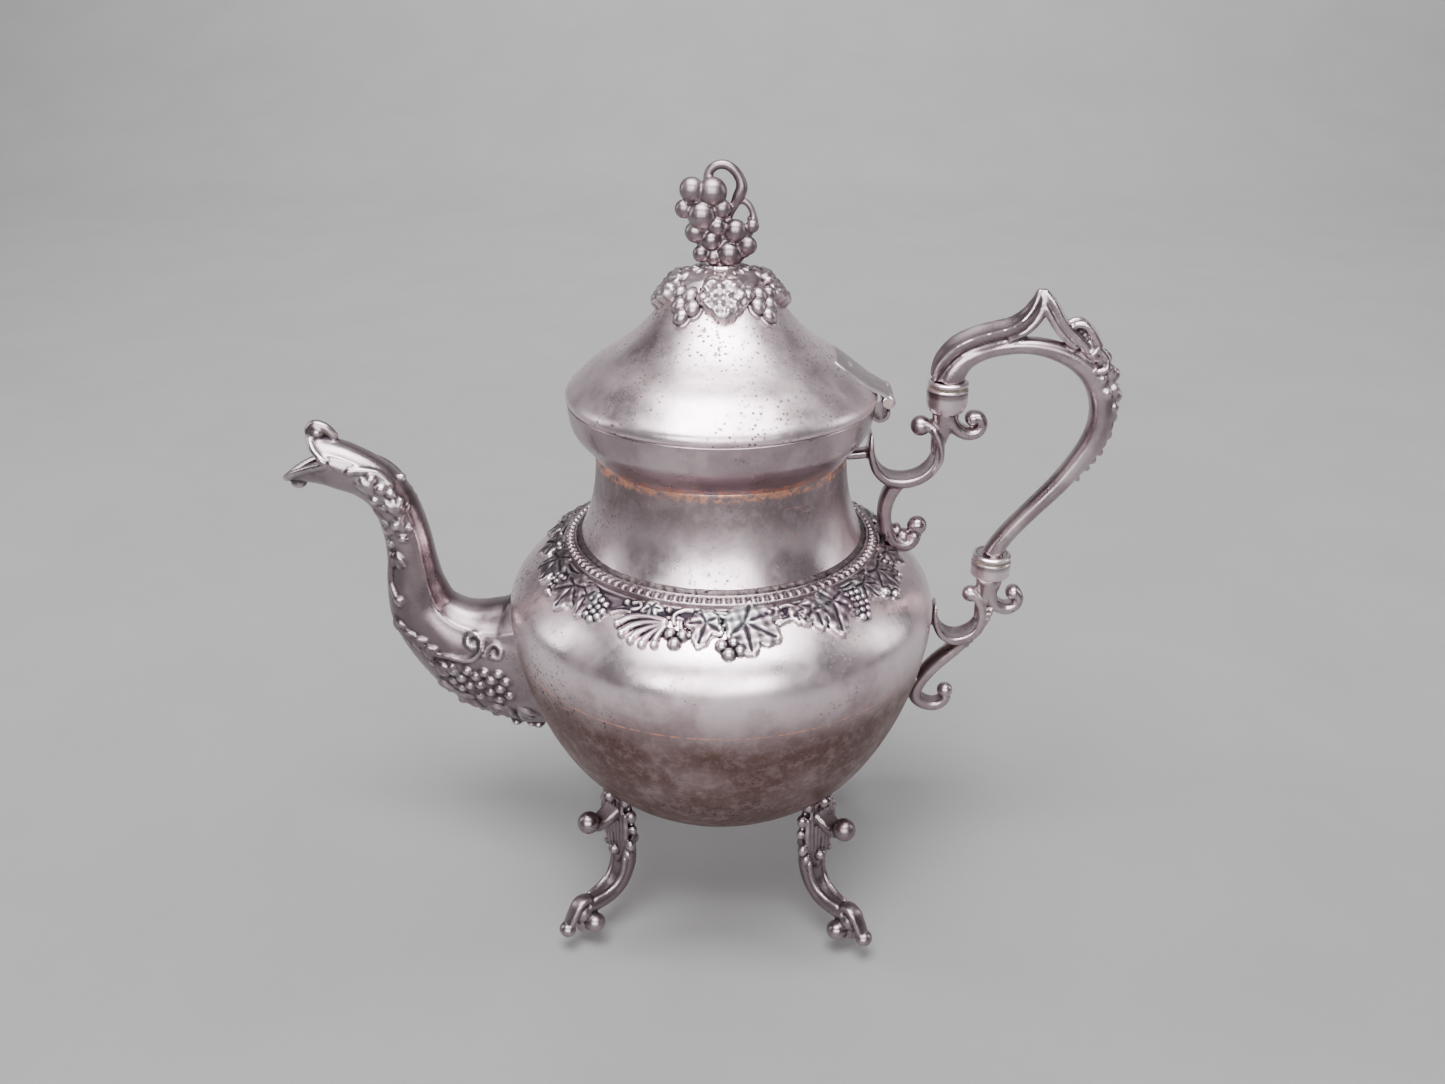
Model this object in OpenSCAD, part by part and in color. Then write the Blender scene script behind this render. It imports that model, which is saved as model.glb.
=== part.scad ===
// Footed silver teapot with a hinged domed lid, a swan-neck spout and a scrolled handle.
// The origin is on the bowl's axis at table level. +Z is up, the spout points to -X and the handle to +X.

/* [Bowl and neck] */
// Radius of the bowl at its widest ring
belly_r = 75.8; // [75:0.1:76.4]
// Height of the bowl's widest ring above the table
belly_z = 114; // [113.5:0.1:114.5]
// Depth of the bowl below its widest ring
bowl_depth = 78; // [77.5:0.1:78.5]
// Height of the seam between the two spun shells
seam_z = 104; // [102:0.5:106]
// Height of the corner where the shoulder meets the neck
neck_foot_z = 141; // [140.5:0.1:141.5]
// Radius of that corner
neck_foot_r = 50; // [49.6:0.1:50.2]
// Height of the neck's narrowest ring, where the rim band starts
neck_top_z = 172; // [171.5:0.1:172.5]
// Radius of the neck's narrowest ring
neck_top_r = 43; // [42.8:0.1:43.2]
// Thickness of the spun sheet
wall = 1.2; // [1:0.1:1.4]
// Radius of each strainer hole behind the spout
strainer_hole_r = 1.75; // [1.2:0.05:1.9]

/* [Lid] */
// Height of the rim band's top edge
rim_z = 190.4; // [190:0.1:190.6]
// Gap between the rim band and the closed lid
lid_gap = 0.5; // [0.3:0.1:0.6]
// Height of the lid's top above the table
lid_top_z = 232; // [231.5:0.1:232.5]
// Outer radius of the ring that keeps the lid centred in the rim
flange_r = 48.6; // [48:0.1:48.8]
// Depth of that ring below the rim band's top edge
flange_drop = 4; // [3:0.5:5]

/* [Hinge] */
// Distance of the hinge pin from the bowl's axis
hinge_x = 55.2; // [55:0.1:55.4]
// Height of the hinge pin
hinge_z = 191.3; // [191.1:0.1:191.5]
// Outer radius of the rolled knuckles
knuckle_r = 2.2; // [2:0.1:2.3]
// Radius of the hinge pin
hinge_pin_r = 1; // [0.9:0.05:1.1]
// Half of the hinge's width
hinge_half = 9; // [8.5:0.5:9.5]
// Half of the middle knuckle's width
middle_half = 3.7; // [3:0.1:4]
// Side gap between two knuckles
knuckle_gap = 0.3; // [0.2:0.05:0.4]
// Radial clearance of the hinge pin in the lid's knuckles
pin_clearance = 0.05; // [0.02:0.01:0.08]

/* [Spout and handle] */
// Wall thickness of the spout
spout_wall = 1.5; // [1.2:0.1:1.6]
// Radius of the handle's tenons
tenon_r = 3; // [2.5:0.1:3.2]
// Clearance round the tenons and the cross pins
fit_gap = 0.05; // [0.02:0.01:0.1]
// Radius of the cross pins
cross_pin_r = 0.8; // [0.6:0.1:1]
// Thickness of the insulating washers
insulator_t = 0.8; // [0.6:0.1:1]

/* [Feet] */
// Angle of the first foot round the bowl's axis
foot_angle = 45; // [40:1:50]

/* [Hidden] */
$fn = 96;

silver = [0.76, 0.70, 0.69];
dark_silver = [0.55, 0.50, 0.50];
bright_silver = [0.84, 0.80, 0.79];
bone = [0.86, 0.82, 0.72];
sink = 0.5; // how far a soldered casting reaches into the wall behind it
eps = 0.01; // overlap that joins two solids of one piece
steps = 4; // steps of a curve between two of its points
strap_fn = 8; // sides of the rolled edge of a cast strap
ball_fn = 12; // sides of a cast ball
stem_fn = 8; // sides of a round stem

// ---------- curves ----------

// Point at t from 0 to 1 on the smooth curve between points i and i + 1 of p
function curve_at(p, i, t) =
    let (
        last = len(p) - 1,
        a = p[max(i - 1, 0)],
        b = p[i],
        c = p[min(i + 1, last)],
        d = p[min(i + 2, last)]
    )
    0.5 * (2 * b + (c - a) * t + (2 * a - 5 * b + 4 * c - d) * t * t + (3 * b - a - 3 * c + d) * t * t * t);

// Smooth curve through all the points of p, with n steps between neighbours
function curve(p, n = steps) =
    [for (i = [0:len(p) - 2], k = [0:n - 1]) curve_at(p, i, k / n), p[len(p) - 1]];

function reversed(list) = [for (i = [len(list) - 1:-1:0]) list[i]];

// Unit direction of the 2-D line p at point i
function direction(p, i) =
    let (step = p[min(i + 1, len(p) - 1)] - p[max(i - 1, 0)], flat = [step[0], step[1]])
    flat / norm(flat);

// The 2-D line p moved by t to the left of its direction
function beside(p, t) =
    [for (i = [0:len(p) - 1]) let (d = direction(p, i)) [max(p[i][0] - t * d[1], 0), p[i][1] + t * d[0]]];

// ---------- profiles of the spun shells, as [radius, height] ----------

bowl_power_z = 1.57;
bowl_power_r = 3.31;
shoulder_power_z = 2.33;
shoulder_power_r = 0.9;
neck_power = 2.2;

// Outer radius of the bowl below its widest ring
function bowl_r(z) =
    belly_r * pow(1 - pow((belly_z - z) / bowl_depth, bowl_power_z), 1 / bowl_power_r);

// Angle that gives the height z in bowl_point
function bowl_angle(z) = asin(pow((belly_z - z) / bowl_depth, bowl_power_z / 2));
function bowl_point(a) =
    [belly_r * pow(cos(a), 2 / bowl_power_r), belly_z - bowl_depth * pow(sin(a), 2 / bowl_power_z)];
function shoulder_point(a) =
    [neck_foot_r + (belly_r - neck_foot_r) * pow(cos(a), 2 / shoulder_power_r),
     belly_z + (neck_foot_z - belly_z) * pow(sin(a), 2 / shoulder_power_z)];
function neck_point(t) =
    [neck_top_r + (neck_foot_r - neck_top_r) * pow(1 - t, neck_power),
     neck_foot_z + (neck_top_z - neck_foot_z) * t];

bowl_bottom_z = belly_z - bowl_depth;
seam_angle = bowl_angle(seam_z);
lower_profile = [for (k = [0:24]) bowl_point(90 - (90 - seam_angle) * k / 24)];
upper_profile = concat(
    [for (k = [0:4]) bowl_point(seam_angle * (1 - k / 4))],
    [for (k = [1:14]) shoulder_point(90 * k / 15)],
    [for (k = [0:8]) neck_point(k / 8)]
);
rim_profile = curve([
    [neck_top_r, neck_top_z], [44.5, 174.5], [48, 178.5], [50.3, 182], [51.2, 186], [51.7, rim_z]
]);
lid_edge_z = rim_z + lid_gap;
lid_profile = curve([
    [51.5, lid_edge_z], [52, lid_edge_z + 1.1], [51.3, 194.2], [48.5, 197], [43, 202], [37, 206],
    [31, 210.2], [25.5, 215], [21, 220], [17, 225], [13.5, 229], [9, lid_top_z - 0.5], [0, lid_top_z]
], 3);

// Shell of thickness t turned from an outer profile that runs upwards
module spun(profile, t = wall) {
    rotate_extrude() polygon(concat(profile, reversed(beside(profile, t))));
}

// Everything inside the pot's outer skin, less the depth that castings sink into it
module pot_core() {
    skin = beside(concat(lower_profile, upper_profile), sink);
    rotate_extrude($fn = 48) polygon(concat([[0, bowl_bottom_z + sink]], skin, [[0, neck_top_z]]));
}

// ---------- cast shapes ----------

// Solid through rings that have the same number of points. A looped one joins its last ring to its first.
module loft(rings, looped = false) {
    n = len(rings[0]);
    count = len(rings);
    spans = looped ? count : count - 1;
    sides = [
        for (i = [0:spans - 1], k = [0:n - 1])
            let (a = i * n + k, b = i * n + (k + 1) % n, up = ((i + 1) % count - i) * n)
            each [[a, b + up, b], [a, a + up, b + up]]
    ];
    ends = [[for (k = [0:n - 1]) k], [for (k = [n - 1:-1:0]) (count - 1) * n + k]];
    polyhedron([for (r = rings) each r], looped ? sides : concat(sides, ends), convexity = 6);
}

// Oval ring of n points across a path in the XZ plane, at station [x, z, half height, half width]
function oval(station, dir, n) =
    [for (k = [0:n - 1])
        let (a = 360 * k / n, up = station[2] * cos(a), side = station[3] * sin(a))
        [station[0] + dir[1] * up, side, station[1] - dir[0] * up]];

// Rings of ovals square to the path through all the stations
function oval_rings(stations, n) =
    [for (i = [0:len(stations) - 1]) oval(stations[i], direction(stations, i), n)];

// Rolled edge of a strap, across the XZ plane, at station [x, z, half thickness, half width]
module strap_edge(s) {
    translate([s[0], 0, s[1]]) rotate([90, 0, 0])
        cylinder(r = s[2], h = 2 * s[3], center = true, $fn = strap_fn);
}

// Strap that follows a smooth curve through the stations
module strap(stations, n = 2) {
    path = curve(stations, n);
    for (i = [0:len(path) - 2]) {
        hull() {
            strap_edge(path[i]);
            strap_edge(path[i + 1]);
        }
    }
}

// Round stem that follows a smooth curve through stations [x, z, radius]
module stem(stations, n = 2) {
    path = curve(stations, n);
    for (i = [0:len(path) - 2]) {
        hull() {
            ball(path[i][0], path[i][1], path[i][2], stem_fn);
            ball(path[i + 1][0], path[i + 1][1], path[i + 1][2], stem_fn);
        }
    }
}

module ball(x, z, r, sides = ball_fn) {
    translate([x, 0, z]) sphere(r = r, $fn = sides);
}

// ---------- body ----------

// Lower spun shell, with a hexagonal field of strainer holes behind the spout
module lower_bowl() {
    row_pitch = 6;
    hole_pitch = 6.9;
    first_row_z = 74;
    color(silver) difference() {
        spun(lower_profile);
        for (row = [0:4], column = [-1:1]) {
            shift = row % 2 == 0 ? -hole_pitch / 4 : hole_pitch / 4;
            translate([-belly_r - 5, column * hole_pitch + shift, first_row_z + row * row_pitch])
                rotate([0, 90, 0]) cylinder(r = strainer_hole_r, h = 30);
        }
    }
}

// Upper spun shell: the belly's top, the shoulder and the neck
module upper_body() {
    color(silver) spun(upper_profile);
}

// Flared collar that the lid rests in, soldered to the neck's top
module rim_band() {
    color(bright_silver) spun(rim_profile, 1.4);
}

// Cast border that lies on the shoulder round the neck's foot, with its ring of beads
module shoulder_border() {
    bead_ring_r = 53;
    bead_ring_z = 140.5;
    bead_r = 1.2;
    border_t = 1.2;
    under = [for (k = [8:14]) shoulder_point(90 * k / 15)];
    color(dark_silver) {
        rotate_extrude() polygon(concat(under, reversed(beside(under, -border_t))));
        rotate_extrude() translate([bead_ring_r, bead_ring_z]) circle(r = bead_r);
    }
}

// ---------- spout ----------

spout_sides = 20;
// Stations of the spout's outer surface: [x, z, half height, half width]
spout_path = [
    [-73.5, 86.5, 28, 16.5], [-84, 87.5, 24.5, 16], [-95, 91.5, 20.5, 14.5], [-104, 98, 15.8, 12.5],
    [-109.8, 106, 13, 11], [-112, 116, 10.8, 9.5], [-112.4, 126, 9, 8.4], [-113, 136, 8.3, 7.8],
    [-115, 146, 8, 7.6], [-119, 154, 8, 7.8], [-125.5, 159.5, 8.2, 8], [-134, 163, 8.6, 8.4],
    [-142, 166.2, 10.5, 8.2], [-147.3, 169, 11.8, 7]
];

// The first ring follows the bowl's wall, a little inside it, so that the spout is soldered all round
function spout_foot(station, n) =
    [for (k = [0:n - 1])
        let (a = 360 * k / n, z = station[1] + station[2] * cos(a), y = station[3] * sin(a))
        [sink - sqrt(pow(bowl_r(min(z, belly_z)), 2) - y * y), y, z]];

function spout_rings(inset) =
    let (path = [for (s = curve(spout_path, 2)) [s[0], s[1], s[2] - inset, s[3] - inset]])
    concat(
        [spout_foot(path[0], spout_sides)],
        [for (i = [1:len(path) - 1]) oval(path[i], direction(path, i), spout_sides)]
    );

// Hollow cast spout, open at the bowl's wall and at its lip
module spout() {
    color(silver) loft(concat(spout_rings(0), reversed(spout_rings(spout_wall))), looped = true);
}

// ---------- feet ----------

// Straps of a foot, drawn in its own plane: [distance from the bowl's axis, z, half thickness, half width]
foot_leg = [
    [51.5, 50, 3, 6], [50.3, 42, 3, 7.5], [49.6, 34, 3, 7], [49, 26, 2.8, 5.6],
    [49.6, 19, 2.6, 4.6], [52.5, 13, 2.4, 4], [57.5, 9.4, 2.3, 3.6], [63.5, 8.6, 2.5, 3.4], [69, 8.8, 3, 3]
];
foot_arm = [[52, 46, 2, 4], [57, 43, 1.9, 3.6], [62, 42.5, 1.8, 3.2]];
foot_toe = [[69, 8.8, 3, 3], [73.5, 7, 2.4, 2.6], [76.2, 3.4, 2.2, 2.4]];
toe_x = 69;

// Cast foot: a leaf on the bowl, a scroll with a ball, and a three-lobed toe that stands on the table
module foot_shape() {
    strap(foot_leg, 1);
    strap(foot_arm, 1);
    strap(foot_toe, 1);
    ball(55.2, 52.6, 2.4);
    ball(64.8, 45, 3.3);
    ball(53, 27, 2.2);
    ball(45, 27.5, 2.4);
    ball(46.2, 17.5, 2);
    for (side = [-1, 1]) {
        translate([toe_x - 1.5, side * 4.6, 4.2]) sphere(r = 3.4, $fn = ball_fn);
    }
    translate([toe_x, 0, 0]) cylinder(r = 3.2, h = 7, $fn = 24);
}

module foot(quarter) {
    color(dark_silver) difference() {
        rotate([0, 0, foot_angle + 90 * quarter]) foot_shape();
        pot_core();
    }
}

module foot_rear_right() { foot(0); }
module foot_rear_left() { foot(1); }
module foot_front_left() { foot(2); }
module foot_front_right() { foot(3); }

// ---------- handle sockets ----------

upper_socket_x = 75.3;
upper_joint_z = 194.1; // top face of the upper socket
lower_socket_x = 96;
lower_joint_z = 131; // top face of the lower socket
socket_r = 6.9;
upper_pin_z = 190.5;
lower_pin_z = 128.2;
tenon_depth = 5; // how far a tenon reaches into its socket
collar_t = 1.7;

// Solid across the handle's plane that a cross pin fits through
module pin_hole(x, z, length) {
    translate([x, 0, z]) rotate([90, 0, 0]) cylinder(r = cross_pin_r + fit_gap, h = length, center = true);
}

// Cup that holds a tenon: straight at the top, tapered below, open at its top face
module socket(x, joint_z, straight, taper, pin_z) {
    color(silver) difference() {
        translate([x, 0, joint_z]) rotate_extrude() polygon([
            [0, -straight - taper], [socket_r - 1.5, -straight - taper], [socket_r, -straight],
            [socket_r, 0], [0, 0]
        ]);
        translate([x, 0, joint_z - tenon_depth - fit_gap])
            cylinder(r = tenon_r + fit_gap, h = tenon_depth + 1);
        pin_hole(x, pin_z, 3 * socket_r);
    }
}

module upper_socket() { socket(upper_socket_x, upper_joint_z, 5, 3.3, upper_pin_z); }
module lower_socket() { socket(lower_socket_x, lower_joint_z, 5.6, 0.8, lower_pin_z); }

// Washer that keeps the heat of the pot out of the handle
module insulator(x, joint_z) {
    color(bone) translate([x, 0, joint_z]) difference() {
        cylinder(r = socket_r - 0.5, h = insulator_t);
        translate([0, 0, -1]) cylinder(r = tenon_r + fit_gap, h = insulator_t + 2);
    }
}

module upper_insulator() { insulator(upper_socket_x, upper_joint_z); }
module lower_insulator() { insulator(lower_socket_x, lower_joint_z); }

// End cap of the handle, with the tenon that goes down through the washer
module collar(x, joint_z, pin_z) {
    color(bright_silver) difference() {
        translate([x, 0, joint_z]) union() {
            translate([0, 0, insulator_t]) cylinder(r = socket_r - 0.2, h = collar_t);
            translate([0, 0, -tenon_depth]) cylinder(r = tenon_r, h = tenon_depth + insulator_t + eps);
        }
        pin_hole(x, pin_z, 3 * socket_r);
    }
}

module upper_collar() { collar(upper_socket_x, upper_joint_z, upper_pin_z); }
module lower_collar() { collar(lower_socket_x, lower_joint_z, lower_pin_z); }

module cross_pin(x, z) {
    color(bright_silver) translate([x, 0, z]) rotate([90, 0, 0])
        cylinder(r = cross_pin_r, h = 2 * socket_r - 0.4, center = true);
}

module upper_pin() { cross_pin(upper_socket_x, upper_pin_z); }
module lower_pin() { cross_pin(lower_socket_x, lower_pin_z); }

// ---------- brackets ----------

// Scrolled bracket between the neck, the shoulder and the upper socket
module upper_bracket() {
    color(silver) difference() {
        upper_scrolls();
        pot_core();
    }
}

module upper_scrolls() {
    strap([
        [51, 177.5, 1, 4.4], [51.2, 171, 1.6, 5], [53.2, 165.5, 2, 5.2], [57.5, 161.8, 2.2, 5.4],
        [63, 161.2, 2.3, 5.4], [68, 163, 2.3, 5.2], [72.2, 167, 2.2, 5], [73.6, 172.5, 2.2, 4.6],
        [72, 178, 2.2, 4], [68.5, 181.2, 2.4, 3.4]
    ]);
    ball(67.5, 180.8, 3.4);
    strap([[51.4, 171, 1.6, 3], [47, 170.4, 1.6, 3], [43.2 - sink, 170, 1.6, 3]]);
    strap([[73, 174, 2.2, 4], [74.8, 180, 2.8, 4.2], [75.3, 185, 3.4, 4.6]]);
    strap([
        [76, 185, 2.6, 4], [79.5, 180.8, 2.2, 3.8], [83.2, 178.3, 2, 3.6], [86.8, 179, 1.8, 3.4],
        [87.6, 182, 1.6, 3.2], [85.4, 184.2, 1.6, 3]
    ]);
    strap([
        [60, 160.5, 2.6, 4.8], [57.8, 154, 2.6, 4.4], [57.2, 148, 2.6, 4.2],
        [58.4, 141, 2.8, 4.4], [60.5, 136.5, 2.8, 4.6]
    ]);
    strap([[60, 138, 2.4, 4.2], [64, 135, 2.2, 3.8], [67, 137, 2, 3.2], [68.4, 141, 2, 2.6]]);
    ball(68.7, 143.6, 3.4);
}

// Scrolled bracket between the bowl and the lower socket
module lower_bracket() {
    color(silver) difference() {
        lower_scrolls();
        pot_core();
    }
}

module lower_scrolls() {
    strap([
        [77.8, 112.5, 1, 4.2], [78.3, 106, 1.6, 4.8], [80.6, 101.4, 1.9, 5], [84.8, 99.2, 2.2, 5],
        [89.4, 100.2, 2.3, 4.8], [93, 103.2, 2.3, 4.6], [94.4, 107.6, 2.3, 4.2],
        [93.6, 112.5, 2.2, 3.8], [91, 116, 2.2, 3.4]
    ]);
    ball(90, 117, 3.3);
    strap([[78.4, 106.5, 1.8, 3], [72.4, 106.5, 1.8, 3]]);
    strap([[93.8, 110, 2.4, 4], [95, 116, 3, 4.4], [96, 121.8, 3.4, 4.8]]);
    strap([
        [96.5, 119, 2.4, 4], [98.8, 114, 2.2, 3.8], [102.6, 111.8, 2, 3.6], [106.4, 113, 1.8, 3.4],
        [107.4, 116.4, 1.6, 3]
    ]);
    ball(105.6, 118.2, 2.6);
    strap([
        [90, 99.5, 2.3, 4.2], [86, 94, 2.4, 4], [80, 88, 2.6, 3.8], [74.5, 82.5, 2.8, 3.6],
        [71.5, 77, 2.8, 3.4], [72.5, 71.8, 2.6, 3.2], [77, 68.6, 2.4, 3], [82, 69.2, 2.2, 3],
        [84.8, 72.6, 2, 2.8]
    ]);
    ball(84.6, 75.6, 2.8);
    strap([[72.6, 81, 2.6, 3], [65, 80, 2.6, 3]]);
}

// ---------- handle ----------

handle_sides = 14;
// Stations of the handle's round body: [x, z, half height, half width]
handle_path = [
    [75.3, 196, 4.6, 4.6], [76.6, 200, 4.2, 4.4], [80, 204, 3.3, 4], [85.5, 206.8, 2.8, 3.8],
    [92.3, 208.3, 2.6, 3.7], [100.3, 208.7, 2.7, 3.7], [108.5, 207.2, 3, 3.8], [116.5, 203.6, 3.4, 4],
    [122.5, 198.2, 3.8, 4.2], [125.8, 191.5, 3.9, 4.3], [126.8, 184, 3.9, 4.3], [125.3, 176.5, 3.8, 4.2],
    [121.5, 169, 3.5, 4], [115.5, 160, 3.2, 3.8], [108.5, 151.5, 3, 3.7], [102, 143.5, 3, 3.7],
    [97.8, 137.5, 3.2, 3.8], [96, 133, 3.6, 4]
];

// Handle: a round loop, a thumb rest that rises to a peak, and the stem behind the peak
module handle() {
    color(silver) {
        loft(oval_rings(curve(handle_path, 2), handle_sides));
        strap([
            [71, 197.5, 1, 3], [73.2, 202.5, 1.2, 5.2], [77.8, 207.3, 1.3, 6.3], [83.5, 210.6, 1.3, 6.6],
            [89.5, 212.4, 1.3, 6.6], [95.5, 214.2, 1.4, 6], [100, 218.4, 1.7, 4.6], [102, 223, 1.9, 3],
            [102.4, 226.8, 1.1, 1.6]
        ]);
        strap([
            [102.8, 226.4, 1.2, 1.6], [105.6, 223.5, 1.7, 2.4], [109, 218.6, 2, 2.8], [113, 214.6, 2.2, 3.2],
            [117.5, 211.8, 2.2, 3.4], [122.5, 206, 2.2, 3.6], [126.2, 199.5, 2.2, 3.6], [128.6, 191.5, 2, 3.4],
            [129.4, 183, 1.8, 3], [127.4, 174.5, 1.4, 2.6]
        ]);
        strap([[80, 204.5, 2.4, 4.6], [85.5, 208.6, 2, 5], [91.5, 210.8, 1.6, 5]]);
        strap([[93, 211, 1.8, 4], [98.6, 213.2, 1.5, 3.2], [103, 217.6, 1.6, 2.6], [103.6, 221, 1.4, 2.4]]);
    }
}

// ---------- hinge ----------

leaf_t = 1;

module across(x, z, r, from, to) {
    translate([x, to, z]) rotate([90, 0, 0]) cylinder(r = r, h = to - from);
}

// Outline in the XZ plane made solid between two values of y
module plate(from, to) {
    translate([0, to, 0]) rotate([90, 0, 0]) linear_extrude(to - from) children();
}

// Rolled trough on the rim band, with the middle knuckle on its outer edge
module hinge_body_leaf() {
    trough_x = 52.6;
    trough_z = 187.9;
    trough_r = 3.4;
    color(silver) difference() {
        union() {
            plate(-hinge_half, hinge_half) difference() {
                translate([trough_x, trough_z]) circle(r = trough_r);
                translate([trough_x, trough_z]) circle(r = trough_r - leaf_t);
                translate([trough_x - 6, trough_z + 0.4]) square([12, 6]);
            }
            across(hinge_x, hinge_z, knuckle_r, -middle_half, middle_half);
            plate(-middle_half, middle_half)
                polygon([
                    [hinge_x - 0.4, hinge_z - 1.6], [hinge_x + 1.4, hinge_z - 1.6],
                    [trough_x + trough_r, trough_z], [trough_x + trough_r - leaf_t, trough_z]
                ]);
        }
        across(hinge_x, hinge_z, hinge_pin_r, -hinge_half, hinge_half);
        translate([0, 0, 170]) cylinder(r = 50.6, h = rim_z - 170 + 3);
    }
}

module hinge_pin() {
    color(bright_silver) across(hinge_x, hinge_z, hinge_pin_r, -hinge_half, hinge_half);
}

// Plate on the lid that rolls over the pin into two knuckles
module hinge_lid_leaf() {
    inner = middle_half + knuckle_gap;
    color(silver) difference() {
        union() {
            across(hinge_x, hinge_z, knuckle_r, -hinge_half, -inner);
            across(hinge_x, hinge_z, knuckle_r, inner, hinge_half);
            plate(-hinge_half, hinge_half) polygon([
                [hinge_x, hinge_z + knuckle_r], [hinge_x, hinge_z + knuckle_r - leaf_t],
                [52.2, 194.3], [49, 196.2], [46.2, 198.6], [38.8, 204.4],
                [39.4, 205.6], [46.9, 199.8], [49.6, 197.6], [52.6, 195.6]
            ]);
        }
        across(hinge_x, hinge_z, hinge_pin_r + pin_clearance, -hinge_half - 1, hinge_half + 1);
        across(hinge_x, hinge_z, knuckle_r + 2 * knuckle_gap, -inner, inner);
    }
}

// ---------- lid ----------

stud_r = 1.5;
stud_bottom_z = 225;
nut_h = 2.4;
washer_t = 0.8;

// Domed lid, pierced at its top for the finial's stud
module lid_shell() {
    color(silver) difference() {
        spun(lid_profile);
        translate([0, 0, lid_top_z - 10]) cylinder(r = stud_r + fit_gap, h = 20);
    }
}

// Ring inside the lid that keeps it centred in the rim
module lid_flange() {
    color(silver) rotate_extrude() polygon([
        [flange_r - 1, rim_z - flange_drop], [flange_r, rim_z - flange_drop],
        [flange_r, 195.8], [flange_r - 1, 196.6]
    ]);
}

// Leaf skirt and collar under the finial, lying on the lid
module finial_rosette() {
    skirt_r = 20;
    skirt_t = 1.6;
    skirt = [for (p = lid_profile) if (p[0] < skirt_r && p[0] > 1) p];
    color(dark_silver) difference() {
        union() {
            rotate_extrude() polygon(concat(skirt, reversed(beside(skirt, -skirt_t))));
            translate([0, 0, skirt[len(skirt) - 1][1]]) cylinder(r = 5.4, h = 2.2);
        }
        translate([0, 0, lid_top_z - 10]) cylinder(r = stud_r + fit_gap, h = 20);
    }
}

// Berries of the finial as [x, z, radius]
berries = [
    [-9, 257.1, 3.3], [-2.6, 256.4, 3.9], [-11.5, 251.2, 2.5], [-5.9, 249.4, 3.9], [0.4, 251.3, 2.5],
    [-8, 244.2, 2.9], [-1.1, 246.1, 2.5], [-3, 241.6, 2.7], [-6.3, 237.4, 2.3], [4.6, 244.7, 3.1],
    [9.9, 246.2, 1.8], [2.7, 237.5, 3.5], [8.5, 240.2, 2.5], [-2.3, 236.3, 2.1], [7.3, 238.7, 2.1]
];

// Bunch of grapes on a looped stem
module finial() {
    color(dark_silver) {
        for (b = berries) ball(b[0], b[1], b[2]);
        stem([
            [-3.7, 260.8, 1.1], [-2.4, 262.6, 1.1], [0, 263.8, 1.2], [2.6, 263, 1.2], [4.9, 260.8, 1.2],
            [6, 257.4, 1.2], [4.4, 253.3, 1.2], [2.8, 250, 1.3], [1.4, 246, 1.5], [0, 242, 1.6],
            [0, 237, 1.7], [0, 234.2, 2.6]
        ]);
        stem([[3.4, 250.8, 1], [6.6, 253.2, 1], [9.2, 251.4, 1], [10, 247.7, 1]]);
        stem([[-5, 257, 2.6], [-4.6, 250, 2.6], [-3.6, 244, 2.4], [0, 238, 2.2]], 1);
    }
}

module finial_stud() {
    color(bright_silver) translate([0, 0, stud_bottom_z]) cylinder(r = stud_r, h = 238 - stud_bottom_z);
}

finial_seat_z = lid_top_z - wall - 0.15; // underside of the lid round the stud, where the washer sits

module finial_washer() {
    color(bright_silver) translate([0, 0, finial_seat_z - washer_t]) difference() {
        cylinder(r = 4, h = washer_t);
        translate([0, 0, -1]) cylinder(r = stud_r + fit_gap, h = washer_t + 2);
    }
}

module finial_nut() {
    color(bright_silver) translate([0, 0, finial_seat_z - washer_t - nut_h]) difference() {
        cylinder(r = 3.2, h = nut_h, $fn = 6);
        translate([0, 0, -1]) cylinder(r = stud_r + fit_gap, h = nut_h + 2);
    }
}

lower_bowl();
upper_body();
rim_band();
shoulder_border();
spout();
foot_rear_right();
foot_rear_left();
foot_front_left();
foot_front_right();
upper_bracket();
lower_bracket();
upper_socket();
lower_socket();
upper_insulator();
lower_insulator();
upper_collar();
lower_collar();
upper_pin();
lower_pin();
handle();
hinge_body_leaf();
hinge_pin();
hinge_lid_leaf();
lid_shell();
lid_flange();
finial_rosette();
finial();
finial_stud();
finial_washer();
finial_nut();
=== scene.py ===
"""Looks of the silver teapot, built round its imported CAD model.

Shapes are worked out in millimetres in the model's own frame: the bowl's axis is Z, the table is z = 0,
the spout points to -X and the handle to +X. make() turns them into Blender pieces in metres.
"""
import math

import bmesh
import bpy
import numpy as np
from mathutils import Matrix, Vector


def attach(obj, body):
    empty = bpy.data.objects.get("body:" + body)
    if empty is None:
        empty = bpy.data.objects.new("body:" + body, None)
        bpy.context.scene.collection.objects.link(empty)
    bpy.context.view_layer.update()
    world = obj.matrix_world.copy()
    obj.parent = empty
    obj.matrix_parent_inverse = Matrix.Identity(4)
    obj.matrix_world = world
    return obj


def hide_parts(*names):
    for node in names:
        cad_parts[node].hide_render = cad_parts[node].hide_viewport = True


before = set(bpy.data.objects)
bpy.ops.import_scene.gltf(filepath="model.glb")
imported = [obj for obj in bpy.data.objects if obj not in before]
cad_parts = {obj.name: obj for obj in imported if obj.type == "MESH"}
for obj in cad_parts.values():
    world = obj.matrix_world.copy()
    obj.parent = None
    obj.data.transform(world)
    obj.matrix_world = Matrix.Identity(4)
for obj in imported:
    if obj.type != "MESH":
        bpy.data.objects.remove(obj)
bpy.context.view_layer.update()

MM = 0.001
TAU = 2 * math.pi


# ---------- camera ----------

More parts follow.
